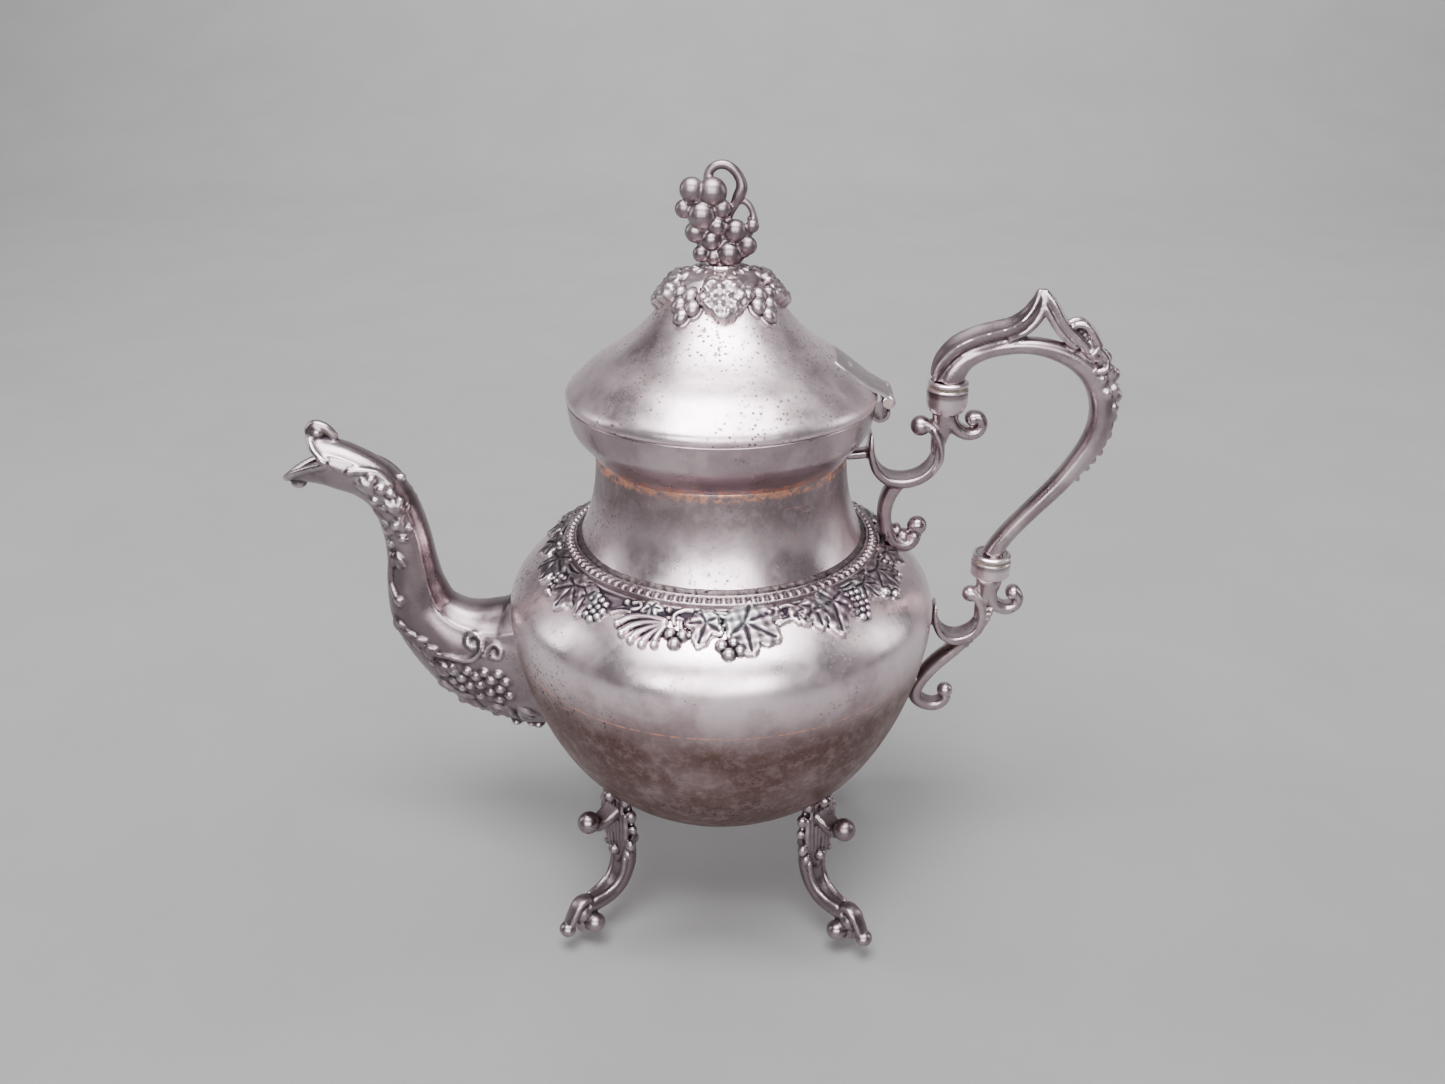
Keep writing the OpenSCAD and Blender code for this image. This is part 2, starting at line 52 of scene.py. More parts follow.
def add_camera():
    """The photograph's view: 28 mm lens, looking down at the pot from the front."""
    data = bpy.data.cameras.new("camera")
    data.sensor_width = 36
    data.lens = 27.98
    data.clip_start = 0.01
    camera = bpy.data.objects.new("camera", data)
    bpy.context.scene.collection.objects.link(camera)
    camera.location = (0.0157, -0.3613, 0.3084)
    camera.rotation_euler = (math.radians(90 - 25.53), 0, math.radians(2.42))
    bpy.context.scene.camera = camera


add_camera()


# ---------- curves and grids ----------

def curve(points, n):
    """Smooth curve through all the points, with n steps between neighbours."""
    p = np.asarray(points, float)
    padded = np.vstack([p[:1], p, p[-1:]])
    a, b, c, d = (padded[i:i + len(p) - 1, None, :] for i in range(4))
    t = (np.arange(n) / n)[None, :, None]
    q = 0.5 * (2 * b + (c - a) * t + (2 * a - 5 * b + 4 * c - d) * t**2 + (3 * b - a - 3 * c + d) * t**3)
    return np.vstack([q.reshape(-1, p.shape[1]), p[-1:]])


def unit(v):
    """Vectors scaled to length 1."""
    return v / np.maximum(np.linalg.norm(v, axis=-1, keepdims=True), 1e-9)


def directions(path):
    """Unit direction of a path at each of its points."""
    return unit(np.gradient(np.asarray(path, float), axis=0))


def beside(line, t):
    """The 2-D line moved by t to the left of its direction."""
    d = directions(line)
    return line + t * np.stack([-d[:, 1], d[:, 0]], axis=1)


def smoothstep(low, high, x):
    """0 below low, 1 above high, and a soft step between."""
    t = np.clip((x - low) / (high - low), 0, 1)
    return t * t * (3 - 2 * t)


def grid_quads(rows, cols, wrap_rows=False, wrap_cols=False):
    """Quads between the points of a grid that is stored row by row."""
    i = np.arange(rows if wrap_rows else rows - 1)[:, None]
    j = np.arange(cols if wrap_cols else cols - 1)[None, :]
    up, right = (i + 1) % rows, (j + 1) % cols
    quad = [i * cols + j, i * cols + right, up * cols + right, up * cols + j]
    return np.stack(quad, axis=-1).reshape(-1, 4)


def turn_z(points, angle):
    """Points turned round the Z axis by an angle in radians."""
    c, s = math.cos(angle), math.sin(angle)
    x, y, z = points.T
    return np.stack([x * c - y * s, x * s + y * c, z], axis=1)


def joined(parts):
    """One (points, faces) pair from several."""
    points, faces, start = [], [], 0
    for p, f in parts:
        points.append(np.asarray(p, float).reshape(-1, 3))
        faces += [[int(k) + start for k in face] for face in f]
        start += len(points[-1])
    return np.vstack(points), faces


def loft(rings):
    """Closed solid through rings of points, with flat ends."""
    rings = np.asarray(rings, float)
    rows, cols = rings.shape[:2]
    faces = grid_quads(rows, cols, wrap_cols=True).tolist()
    faces.append(list(range(cols))[::-1])
    faces.append(list(range((rows - 1) * cols, rows * cols)))
    return rings.reshape(-1, 3), faces


def turned(profile, n=256, wobble=0.0, seed=0):
    """Closed solid of revolution from a closed outline of (radius, height) points.
    The outline may start and end on the axis. wobble is the depth in mm of soft hand-spun unevenness."""
    profile = np.asarray(profile, float)
    poles = profile[:, 0] < 1e-6
    angle = TAU * np.arange(n) / n
    r = np.repeat(profile[:, :1], n, axis=1)
    z = np.repeat(profile[:, 1:], n, axis=1)
    if wobble:
        rng = np.random.default_rng(seed)
        for _ in range(9):
            around, along, phase = rng.integers(2, 9), rng.uniform(0.02, 0.12), rng.uniform(0, TAU)
            r = r + wobble / 3 * np.sin(around * angle[None, :] + along * z + phase) * (r > 3)
    points = np.stack([r * np.cos(angle), r * np.sin(angle), z], axis=-1)
    if not poles.any():
        faces = grid_quads(len(profile), n, wrap_rows=True, wrap_cols=True).tolist()
        return points.reshape(-1, 3), faces
    inner = points[1:-1].reshape(-1, 3)
    count = len(profile) - 2
    faces = grid_quads(count, n, wrap_cols=True).tolist()
    first, last = len(inner), len(inner) + 1
    ends = np.array([[0, 0, profile[0, 1]], [0, 0, profile[-1, 1]]])
    top = (count - 1) * n
    for k in range(n):
        after = (k + 1) % n
        faces.append([first, after, k])
        faces.append([last, top + k, top + after])
    return np.vstack([inner, ends]), faces


def ball(x, y, z, r, squash=(1, 1, 1), sides=20):
    """Closed round solid, squashed along the axes."""
    rows = sides // 2
    lat = math.pi * (np.arange(1, rows) / rows - 0.5)
    lon = TAU * np.arange(sides) / sides
    ring = np.stack([
        np.cos(lat)[:, None] * np.cos(lon), np.cos(lat)[:, None] * np.sin(lon),
        np.repeat(np.sin(lat)[:, None], sides, axis=1)], axis=-1).reshape(-1, 3)
    points = np.vstack([ring, [[0, 0, -1], [0, 0, 1]]]) * r * np.array(squash) + np.array([x, y, z])
    faces = grid_quads(rows - 1, sides, wrap_cols=True).tolist()
    low, high, top = len(ring), len(ring) + 1, (rows - 2) * sides
    for k in range(sides):
        after = (k + 1) % sides
        faces.append([low, after, k])
        faces.append([high, top + k, top + after])
    return points, faces


def outline(sides, squareness=1.0):
    """Oval outline of (up, side) points. A squareness below 1 fills out the corners."""
    a = TAU * np.arange(sides) / sides
    c, s = np.cos(a), np.sin(a)
    return np.stack([np.sign(c) * np.abs(c)**squareness, np.sign(s) * np.abs(s)**squareness], axis=1)


def strap(stations, n=8, sides=28, squareness=0.6, hollow=0.0):
    """Cast strap along a curve in the XZ plane, through stations (x, z, half thickness, half width).
    hollow dishes the face on the left of the curve by that share of the thickness."""
    path = curve(stations, n)
    d = directions(path[:, :2])
    across = np.stack([-d[:, 1], d[:, 0]], axis=1)
    shape = outline(sides, squareness)
    rings = []
    for (x, z, thick, wide), (nx, nz) in zip(path, across):
        up = shape[:, 0] * thick
        side = shape[:, 1] * wide
        up = np.where(up > 0, up * (1 - hollow * np.maximum(0, 1 - shape[:, 1]**2)), up)
        rings.append(np.stack([x + nx * up, side, z + nz * up], axis=1))
    return loft(rings)


def stem(points, n=8, sides=16):
    """Round stem through points (x, y, z, radius) anywhere in space, with rounded ends."""
    path = curve(points, n)
    centre, radius = path[:, :3], path[:, 3]
    d = directions(centre)
    side = unit(np.cross(d[0], [0.3, 0.2, 1.0]) + 1e-6)
    a = TAU * np.arange(sides) / sides
    rings = []
    reach = [(-1.0, 0.05), (-0.92, 0.4), (-0.7, 0.71), (-0.38, 0.92)]
    stops = [(0, centre[0] + d[0] * radius[0] * k, radius[0] * w) for k, w in reach]
    stops += [(i, centre[i], radius[i]) for i in range(len(centre))]
    stops += [(len(centre) - 1, centre[-1] - d[-1] * radius[-1] * k, radius[-1] * w) for k, w in reach[::-1]]
    for i, at, r in stops:
        side = unit(side - d[i] * np.dot(side, d[i]))
        up = np.cross(d[i], side)
        rings.append(at + r * (np.cos(a)[:, None] * side + np.sin(a)[:, None] * up))
    return loft(rings)


# ---------- relief: heights in mm over a strip wound round the axis ----------

class Relief:
    """Height field over an outer profile turned round the axis.
    A feature is placed by its azimuth in degrees and its distance s in mm along the profile. In its own
    pattern x runs to higher azimuth and y down the profile. Angles turn from +y towards +x."""

    def __init__(self, profile, cols, step, bare=-0.6):
        path = np.asarray(profile, float)
        run = np.concatenate([[0], np.cumsum(np.linalg.norm(np.diff(path, axis=0), axis=1))])
        self.s = np.arange(0, run[-1], step)
        self.line = np.stack([np.interp(self.s, run, path[:, k]) for k in (0, 1)], axis=1)
        self.azimuth = -180 + 360 * np.arange(cols) / cols
        self.bare = bare
        self.h = np.full((len(self.s), cols), bare)

    def spot(self, s):
        """Radius at s."""
        return np.interp(s, self.s, self.line[:, 0])

    def add(self, azimuth, s, shape, reach, *details):
        """Raise one feature round (azimuth, s). shape gives its heights from x and y."""
        turn = np.radians((self.azimuth - azimuth + 180) % 360 - 180)
        rows = np.abs(self.s - s) < reach
        cols = np.abs(turn) * self.spot(s) < reach * 1.3
        block = np.ix_(rows, cols)
        x = turn[cols][None, :] * self.line[rows, :1]
        y = (self.s[rows] - s)[:, None] + 0 * x
        self.h[block] = np.maximum(self.h[block], shape(x, y, *details))

    def solid(self, depth=0.15):
        """Closed solid over the cells where the relief stands clear of the bare height."""
        rows, cols = self.h.shape
        d = directions(self.line)
        out = np.stack([-d[:, 1], d[:, 0]], axis=1)
        out *= np.sign(out[:, :1].sum() + out[:, 1:].sum())
        turn = np.radians(self.azimuth)
        surface = swept(self.line, turn)
        normal = swept(out, turn)
        quads = grid_quads(rows, cols, wrap_cols=True)
        kept = (self.h.reshape(-1)[quads] > self.bare + 0.02).any(axis=1).reshape(rows - 1, cols)
        for _ in range(4):
            # cells that touch only at a corner are joined by filling the cell beside them
            a, b = kept[:-1], kept[1:]
            c, d = np.roll(a, -1, axis=1), np.roll(b, -1, axis=1)
            lone = (a & d & ~b & ~c) | (b & c & ~a & ~d)
            kept[:-1] |= lone
            kept[1:] |= lone
        quads = quads[kept.reshape(-1)]
        top = (surface + normal * np.maximum(self.h, self.bare + 0.02)[..., None]).reshape(-1, 3)
        low = (surface + normal * (self.bare - depth)).reshape(-1, 3)
        used, quads = np.unique(quads, return_inverse=True)
        quads = quads.reshape(-1, 4)
        edges = np.concatenate([quads[:, [k, (k + 1) % 4]] for k in range(4)])
        n = len(used)
        rim = edges[~np.isin(edges[:, 0] * n + edges[:, 1], edges[:, 1] * n + edges[:, 0])]
        walls = np.stack([rim[:, 1], rim[:, 0], rim[:, 0] + n, rim[:, 1] + n], axis=1)
        return np.vstack([top[used], low[used]]), np.vstack([quads, quads[:, ::-1] + n, walls]).tolist()


def swept(line, angles):
    """Points of a (radius, height) line turned to each angle."""
    r, z = line[:, :1], line[:, 1:]
    return np.stack([r * np.cos(angles), r * np.sin(angles), z + 0 * r * angles], axis=-1)


def turned_to(x, y, angle):
    """Pattern coordinates (across, along) of a feature that points in the direction angle."""
    a = math.radians(angle)
    return x * math.cos(a) - y * math.sin(a), x * math.sin(a) + y * math.cos(a)


def berry(x, y, r, height=1.6):
    """Round berry in the middle of its pattern."""
    d = np.hypot(x, y)
    return np.where(d < r, height * (0.35 + 0.65 * np.sqrt(np.maximum(0, 1 - (d / r)**2))), -1)


def along_path(x, y, path, r, height):
    """Round thread along a path."""
    best = np.full(x.shape, 1e9)
    for (ax, ay), (bx, by) in zip(path[:-1], path[1:]):
        ex, ey = bx - ax, by - ay
        t = np.clip(((x - ax) * ex + (y - ay) * ey) / (ex * ex + ey * ey + 1e-9), 0, 1)
        best = np.minimum(best, np.hypot(x - ax - t * ex, y - ay - t * ey))
    return berry(best, 0, r, height)


BROAD_LEAF = ((0, 1), (66, .74), (-66, .74), (130, .5), (-130, .5))
HEART_LEAF = ((0, 1), (52, .88), (-52, .88), (112, .74), (-112, .74))
VINE_LEAF = ((0, 1), (50, .9), (-50, .9), (105, .62), (-105, .62))
SLIM_LEAF = ((0, 1), (38, .7), (-38, .7), (80, .45), (-80, .45))


def leaf(x, y, angle, size, height=1.6, lobes=VINE_LEAF, lobe_width=30, vein_depth=0.26, folds=0.1):
    """Domed leaf with broad lobes, shallow veins and a thick round edge. Its stalk joins at the middle."""
    u, v = turned_to(x, y, angle)
    far = np.hypot(u, v)
    turn = np.degrees(np.arctan2(u, v))
    reach = np.full(far.shape, 0.45)
    vein = np.zeros(far.shape)
    for a, length in lobes:
        off = np.abs((turn - a + 180) % 360 - 180)
        reach = np.maximum(reach, length * (0.5 + 0.5 * np.exp(-(off / lobe_width)**2)))
        s, c = math.sin(math.radians(a)), math.cos(math.radians(a))
        along, aside = u * s + v * c, np.abs(u * c - v * s)
        on = (along > 0) & (along < 0.86 * length * size)
        width = 0.32 + 0.03 * size * (1 - along / size)
        vein = np.maximum(vein, np.where(on, np.exp(-(aside / width)**2), 0))
    reach = reach * size * (1 + 0.022 * np.cos(np.radians(turn) * 17))
    inside = reach - far
    edge = np.sqrt(np.clip(inside / 1.5, 0, 1))
    waves = folds * np.sin(1.5 * u + 0.6) * np.sin(1.2 * v + 0.4)
    body = 0.55 + 0.45 * edge + waves * edge - vein_depth * vein * smoothstep(0.5, 1.8, inside)
    return np.where(inside > 0, height * body, -1)


def bunch(x, y, angle, rows=(3, 4, 3, 2), r=1.3, height=1.9):
    """Bunch of grapes on a bed, narrowing away from its stalk."""
    u, v = turned_to(x, y, angle)
    h = np.full(x.shape, -1.0)
    for i, count in enumerate(rows):
        for j in range(count):
            du, dv = u - (j - (count - 1) / 2) * 1.9 * r, v - r - i * 1.65 * r
            h = np.maximum(h, berry(du, dv, 1.02 * r, height))
            h = np.maximum(h, berry(du, dv, 1.5 * r, 0.7))
    return h


def seed(x, y, angle, r, height=2.4, long=1.4):
    """Long berry."""
    u, v = turned_to(x, y, angle)
    return berry(u, v / long, r, height)


def finger(x, y, path, r, height=1.9):
    """Tapering lobe with a groove beside it and a bulb at its end."""
    h = along_path(x, y, path, r, height)
    end = path[-1]
    return np.maximum(h, berry(x - end[0], y - end[1], 1.3 * r, height + 0.35))


# ---------- from points to Blender pieces ----------

def recess_of(mesh, rounds):
    """How far each vertex lies below the surface round it, in mm. Recesses are positive."""
    n = len(mesh.vertices)
    co, normal = np.empty(n * 3), np.empty(n * 3)
    mesh.vertices.foreach_get("co", co)
    mesh.vertices.foreach_get("normal", normal)
    ends = np.empty(len(mesh.edges) * 2, dtype=np.int64)
    mesh.edges.foreach_get("vertices", ends)
    co, normal = co.reshape(-1, 3) / MM, normal.reshape(-1, 3)
    a, b = ends[::2], ends[1::2]
    count = np.maximum(np.bincount(ends, minlength=n), 1)
    mean = co.copy()
    for _ in range(rounds):
        total = [np.bincount(a, mean[b, k], n) + np.bincount(b, mean[a, k], n) for k in range(3)]
        mean = 0.3 * mean + 0.7 * np.stack(total, axis=1) / count[:, None]
    return np.einsum("ij,ij->i", mean - co, normal)


def make(name, solid, material, body="pot", nodes=(), voxel=0, relax=0,
         rounds=8, sharp=50, keep_out=None):
    """One closed piece. A voxel size in mm fuses its solids, and relax smooths the joints between them.
    keep_out moves the points, as an array in mm, after that."""
    points, faces = solid
    mesh = bpy.data.meshes.new(name)
    mesh.from_pydata((np.asarray(points) * MM).tolist(), [], faces)
    mesh.update()
    outward(mesh)
    piece = bpy.data.objects.new(name, mesh)
    bpy.context.scene.collection.objects.link(piece)
    if voxel:
        fuse(piece, voxel, relax)
    if keep_out:
        co = np.empty(len(piece.data.vertices) * 3)
        piece.data.vertices.foreach_get("co", co)
        moved = keep_out(co.reshape(-1, 3) / MM) * MM
        piece.data.vertices.foreach_set("co", moved.reshape(-1))
        piece.data.update()
    finish_mesh(piece.data, material, rounds, sharp)
    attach(piece, body)
    if nodes:
        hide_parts(*nodes)
    return piece


def outward(mesh):
    """Turn all faces of a closed mesh outwards."""
    bm = bmesh.new()
    bm.from_mesh(mesh)
    bmesh.ops.recalc_face_normals(bm, faces=bm.faces)
    bm.to_mesh(mesh)
    bm.free()


def fuse(piece, voxel, relax):
    """Make one skin round solids that overlap."""
    remesh = piece.modifiers.new("fuse", "REMESH")
    remesh.mode = "VOXEL"
    remesh.voxel_size = voxel * MM
    if relax:
        smooth = piece.modifiers.new("relax", "SMOOTH")
        smooth.factor = 0.5
        smooth.iterations = relax
    apply_modifiers(piece)


def cut(piece, tool_solid):
    """Take a closed solid out of a piece."""
    points, faces = tool_solid
    mesh = bpy.data.meshes.new("cutter")
    mesh.from_pydata((np.asarray(points) * MM).tolist(), [], faces)
    outward(mesh)
    tool = bpy.data.objects.new("cutter", mesh)
    bpy.context.scene.collection.objects.link(tool)
    boolean = piece.modifiers.new("cut", "BOOLEAN")
    boolean.operation = "DIFFERENCE"
    boolean.solver = "EXACT"
    boolean.object = tool
    apply_modifiers(piece)
    bpy.data.objects.remove(tool)
    bpy.data.meshes.remove(mesh)


def apply_modifiers(piece):
    """Swap the piece's mesh for the one its modifiers give."""
    bpy.context.view_layer.update()
    final = bpy.data.meshes.new_from_object(piece.evaluated_get(bpy.context.evaluated_depsgraph_get()))
    old = piece.data
    piece.modifiers.clear()
    piece.data = final
    final.name = piece.name
    bpy.data.meshes.remove(old)


def finish_mesh(mesh, material, rounds, sharp):
    """Material, smooth shading up to the sharp angle in degrees, and the recess depths."""
    mesh.materials.clear()
    mesh.materials.append(material)
    mesh.polygons.foreach_set("use_smooth", [True] * len(mesh.polygons))
    mesh.set_sharp_from_angle(angle=math.radians(sharp))
    recess = mesh.attributes.new("recess", "FLOAT", "POINT")
    recess.data.foreach_set("value", recess_of(mesh, rounds).astype(np.float32))


# ---------- materials ----------

class Shader:
    """Small helper that builds a node material."""

    def __init__(self, name):
        self.material = bpy.data.materials.new(name)
        self.material.use_nodes = True
        self.tree = self.material.node_tree
        self.tree.nodes.clear()
        self.place = self.node("ShaderNodeTexCoord").outputs["Object"]

    def node(self, kind, props=None, **inputs):
        made = self.tree.nodes.new(kind)
        for key, value in (props or {}).items():
            setattr(made, key, value)
        for key, value in inputs.items():
            self.feed(made.inputs[key.replace("_", " ")], value)
        return made

    def feed(self, socket, value):
        if isinstance(value, bpy.types.NodeSocket):
            self.tree.links.new(value, socket)
        else:
            socket.default_value = value

    def noise(self, scale, detail=6, rough=0.6, place=None, distort=0.0):
        return self.node("ShaderNodeTexNoise", Vector=place or self.place, Scale=scale, Detail=detail,
                         Roughness=rough, Distortion=distort).outputs["Fac"]

    def cells(self, scale):
        """Distance to the nearest of scattered points."""
        return self.node("ShaderNodeTexVoronoi", Vector=self.place, Scale=scale).outputs["Distance"]

    def stretched(self, x, y, z):
        """Position scaled along each axis, for streaks."""
        mapping = self.node("ShaderNodeMapping", Vector=self.place)
        mapping.inputs["Scale"].default_value = (x, y, z)
        return mapping.outputs["Vector"]

    def ramp(self, value, low, high, to_low=0.0, to_high=1.0):
        """Soft step from to_low, where the value is low, to to_high, where it is high."""
        made = self.node("ShaderNodeMapRange", {"interpolation_type": "SMOOTHSTEP"}, Value=value)
        for key, number in (("From Min", low), ("From Max", high), ("To Min", to_low), ("To Max", to_high)):
            made.inputs[key].default_value = number
        return made.outputs["Result"]

    def math(self, operation, a, b=0.0):
        made = self.node("ShaderNodeMath", {"operation": operation})
        self.feed(made.inputs[0], a)
        self.feed(made.inputs[1], b)
        return made.outputs[0]

    def blend(self, share, a, b):
        """Mix of two colours, or of two numbers."""
        is_colour = isinstance(a, tuple) or getattr(a, "type", "") == "RGBA"
        kind, first, result = ("RGBA", 6, 2) if is_colour else ("FLOAT", 2, 0)
        made = self.node("ShaderNodeMix", {"data_type": kind})
        self.feed(made.inputs[0], share)
        for socket, value in ((first, a), (first + 1, b)):
            self.feed(made.inputs[socket], (*value, 1) if isinstance(value, tuple) else value)
        return made.outputs[result]

    def times(self, a, b):
        return self.math("MULTIPLY", a, b)

    def axis(self, letter):
        """Position along X, Y or Z in metres."""
        return self.node("ShaderNodeSeparateXYZ", Vector=self.place).outputs[letter]

    def recess(self):
        """Depth below the surface round it, from the mesh."""
        return self.node("ShaderNodeAttribute", {"attribute_name": "recess"}).outputs["Fac"]

    def finish(self, colour, rough, metallic, bump, bump_depth, strength=1.0):
        surface = self.node("ShaderNodeBsdfPrincipled", Base_Color=colour, Roughness=rough, Metallic=metallic)
        relief = self.node("ShaderNodeBump", Height=bump, Distance=bump_depth, Strength=strength)
        self.tree.links.new(relief.outputs["Normal"], surface.inputs["Normal"])
        out = self.node("ShaderNodeOutputMaterial")
        self.tree.links.new(surface.outputs["BSDF"], out.inputs["Surface"])
        return self.material


CLEAN = (0.84, 0.70, 0.73)
DULL = (0.50, 0.39, 0.42)
BROWN = (0.13, 0.075, 0.065)
OXIDE = (0.022, 0.018, 0.026)
COPPER = (0.74, 0.36, 0.24)
NECK_GREY = (0.19, 0.145, 0.155)
RUBBED = (0.93, 0.80, 0.83)
SPECK = (0.07, 0.045, 0.045)
TEAL = (0.42, 0.56, 0.56)
ROSE = (0.62, 0.40, 0.52)


def add_rainbow(s, colour, share):
    """Iridescent patches at the front of the pot."""
    tint = s.blend(s.ramp(s.noise(95, 2, 0.4), 0.42, 0.5), TEAL, ROSE)
    front = s.ramp(s.axis("Y"), -0.02, -0.045)
    patches = s.ramp(s.noise(60, 3, 0.5), 0.42, 0.58, 0.0, share)
    return s.blend(s.times(patches, front), colour, tint)


def add_tarnish_and_shade(s, colour, roughness, rough, tarnish_and_shade_cloud):
    """Cloud that darkens over a range of heights: partly deeper tarnish, partly painted dark reflection."""
    start, full, tone, share, even = tarnish_and_shade_cloud
    by_height = s.ramp(s.axis("Z"), start, full, 0.0, share)
    fine = s.ramp(s.noise(240, 8, 0.75), 0.36, 0.56, even, 1.0)
    broad = s.ramp(s.noise(28, 6, 0.6), 0.3, 0.5, even, 1.0)
    cloud = s.times(by_height, s.times(fine, broad))
    return s.blend(cloud, colour, tone), s.blend(cloud, roughness, rough + 0.15)


def add_specks(s, colour, roughness, specks):
    """Black dots and blotches that cluster."""
    where = s.ramp(s.noise(26, 5, 0.6), 0.62 - 0.22 * specks, 0.72 - 0.15 * specks)
    dots = s.ramp(s.cells(520), 0.2, 0.3, 1.0, 0.0)
    blotches = s.ramp(s.noise(330, 7, 0.8), 0.56, 0.62)
    both = s.times(s.math("MAXIMUM", dots, blotches), where)
    return s.blend(s.times(both, 0.85), colour, SPECK), s.blend(both, roughness, 0.6)


def add_worn_band(s, colour, height, half):
    """Copper that shows through round the pot at one height."""
    off = s.math("ABSOLUTE", s.math("SUBTRACT", s.axis("Z"), height))
    near = s.ramp(off, 0.3 * half, half, 1.0, 0.0)
    grain = s.ramp(s.noise(330, 8, 0.8), 0.44, 0.58)
    return s.blend(s.times(near, grain), colour, COPPER)


def add_scratches(s, colour, share):
    """Copper-coloured scratches in a few patches, level with the table."""
    streaks = s.ramp(s.noise(1, 2, 0.5, s.stretched(95, 95, 1500), 0.4), 0.66, 0.7)
    patches = s.ramp(s.noise(34, 3, 0.5), 0.6, 0.68)
    return s.blend(s.times(s.times(streaks, patches), share), colour, COPPER)


def add_grime(s, colour, roughness, fine, depths, share, sunk_colour, rubbed):
    """Oxide in the recesses, and bright edges where polishing reaches."""
    sunk = s.recess()
    uneven = s.math("ADD", sunk, s.ramp(fine, 0, 1, -0.04, 0.04))
    hole = s.ramp(uneven, depths[0], depths[1], 0.0, share)
    colour, roughness = s.blend(hole, colour, sunk_colour), s.blend(hole, roughness, 0.62)
    return s.blend(s.ramp(sunk, -0.3, -0.05, rubbed, 0.0), colour, RUBBED), roughness


def tarnished_silver(name, rough=0.3, tarnish_and_shade_clouds=(), specks=0.5, worn=(), recess=(0.03, 0.3), scratches=0.0,
                     rainbow=0.0, dull=0.5, grime=0.9, base=1.0, sunk_colour=OXIDE, rubbed=0.6):
    """Old silver plate.
    tarnish_and_shade_clouds: darker clouds, partly deeper tarnish and partly painted dark reflection, each as
    (height where it starts, height where it is full, colour, share, how even it is), heights in metres.
    specks: share of the surface where black specks cluster. worn: heights of copper-worn bands, as
    (height, half width) in metres. recess: depths in mm where the oxide starts and is full.
    dull and base: how much of it is dull, and how bright it is as a whole."""
    s = Shader(name)
    mottle = s.noise(38, 9, 0.62)
    fine = s.noise(900, 4, 0.7)
    clean, faded = (tuple(base * v for v in colour) for colour in (CLEAN, DULL))
    colour = s.blend(s.ramp(mottle, 0.62 - 0.3 * dull, 0.78 - 0.2 * dull), clean, faded)
    colour = s.blend(s.ramp(s.noise(11, 3, 0.5), 0.38, 0.66, 0.0, 0.5 * dull), colour, faded)
    roughness = s.ramp(s.noise(70, 7, 0.6), 0.3, 0.7, rough - 0.05, rough + 0.09)
    if rainbow:
        colour = add_rainbow(s, colour, rainbow)
    for tarnish_and_shade_cloud in tarnish_and_shade_clouds:
        colour, roughness = add_tarnish_and_shade(s, colour, roughness, rough, tarnish_and_shade_cloud)
    if specks:
        colour, roughness = add_specks(s, colour, roughness, specks)
    for height, half in worn:
        colour = add_worn_band(s, colour, height, half)
    if scratches:
        colour = add_scratches(s, colour, scratches)
    if grime:
        colour, roughness = add_grime(s, colour, roughness, fine, recess, grime, sunk_colour, rubbed)
    bump = s.math("ADD", s.times(fine, 0.35), s.noise(160, 6, 0.6))
    return s.finish(colour, roughness, 1.0, bump, 0.00012, 0.5)


def plain_metal(name, colour, darker, rough=0.35):
    """Turned metal without plating."""
    s = Shader(name)
    tone = s.blend(s.ramp(s.noise(180, 6, 0.6), 0.35, 0.7), colour, darker)
    roughness = s.ramp(s.noise(300), 0.3, 0.7, rough - 0.06, rough + 0.12)
    marks = s.noise(1, 3, 0.5, s.stretched(60, 60, 4000))
    return s.finish(tone, roughness, 1.0, marks, 0.00006)


def fibre(name):
    """Pressed fibre of the insulating washers."""
    s = Shader(name)
    tone = s.blend(s.ramp(s.noise(500, 8, 0.7), 0.35, 0.7), (0.42, 0.36, 0.28), (0.2, 0.16, 0.12))
    return s.finish(tone, s.ramp(s.noise(900), 0.3, 0.7, 0.6, 0.8), 0.0, s.noise(1500), 0.0001)


def table_paint(name):
    """Matt pale paint."""
    s = Shader(name)
    tone = s.blend(s.ramp(s.noise(9, 5, 0.6), 0.3, 0.7), (0.74, 0.735, 0.74), (0.78, 0.775, 0.78))
    return s.finish(tone, s.ramp(s.noise(40), 0.3, 0.7, 0.55, 0.65), 0.0, s.noise(800), 0.00005)


# The belly cloud darkens the lower bowl towards the bottom and the neck cloud darkens the top of the neck:
# partly deeper tarnish, partly painted dark reflection.
BELLY_TARNISH_AND_SHADE = (0.119, 0.094, BROWN, 1.0, 0.86)
NECK_TARNISH_AND_SHADE = (0.147, 0.164, NECK_GREY, 0.92, 0.82)
BELLY_SEAM_WEAR = (0.104, 0.0008)
NECK_WEAR = (0.1712, 0.0026)
BAND_WEAR = (0.1728, 0.0014)
LOWER = tarnished_silver("bowl_silver", 0.33, [BELLY_TARNISH_AND_SHADE], 0.7, [BELLY_SEAM_WEAR], scratches=0.4, grime=0)
UPPER = tarnished_silver("body_silver", 0.29, [BELLY_TARNISH_AND_SHADE, NECK_TARNISH_AND_SHADE], 0.62, [NECK_WEAR],
                         scratches=0.9, grime=0)
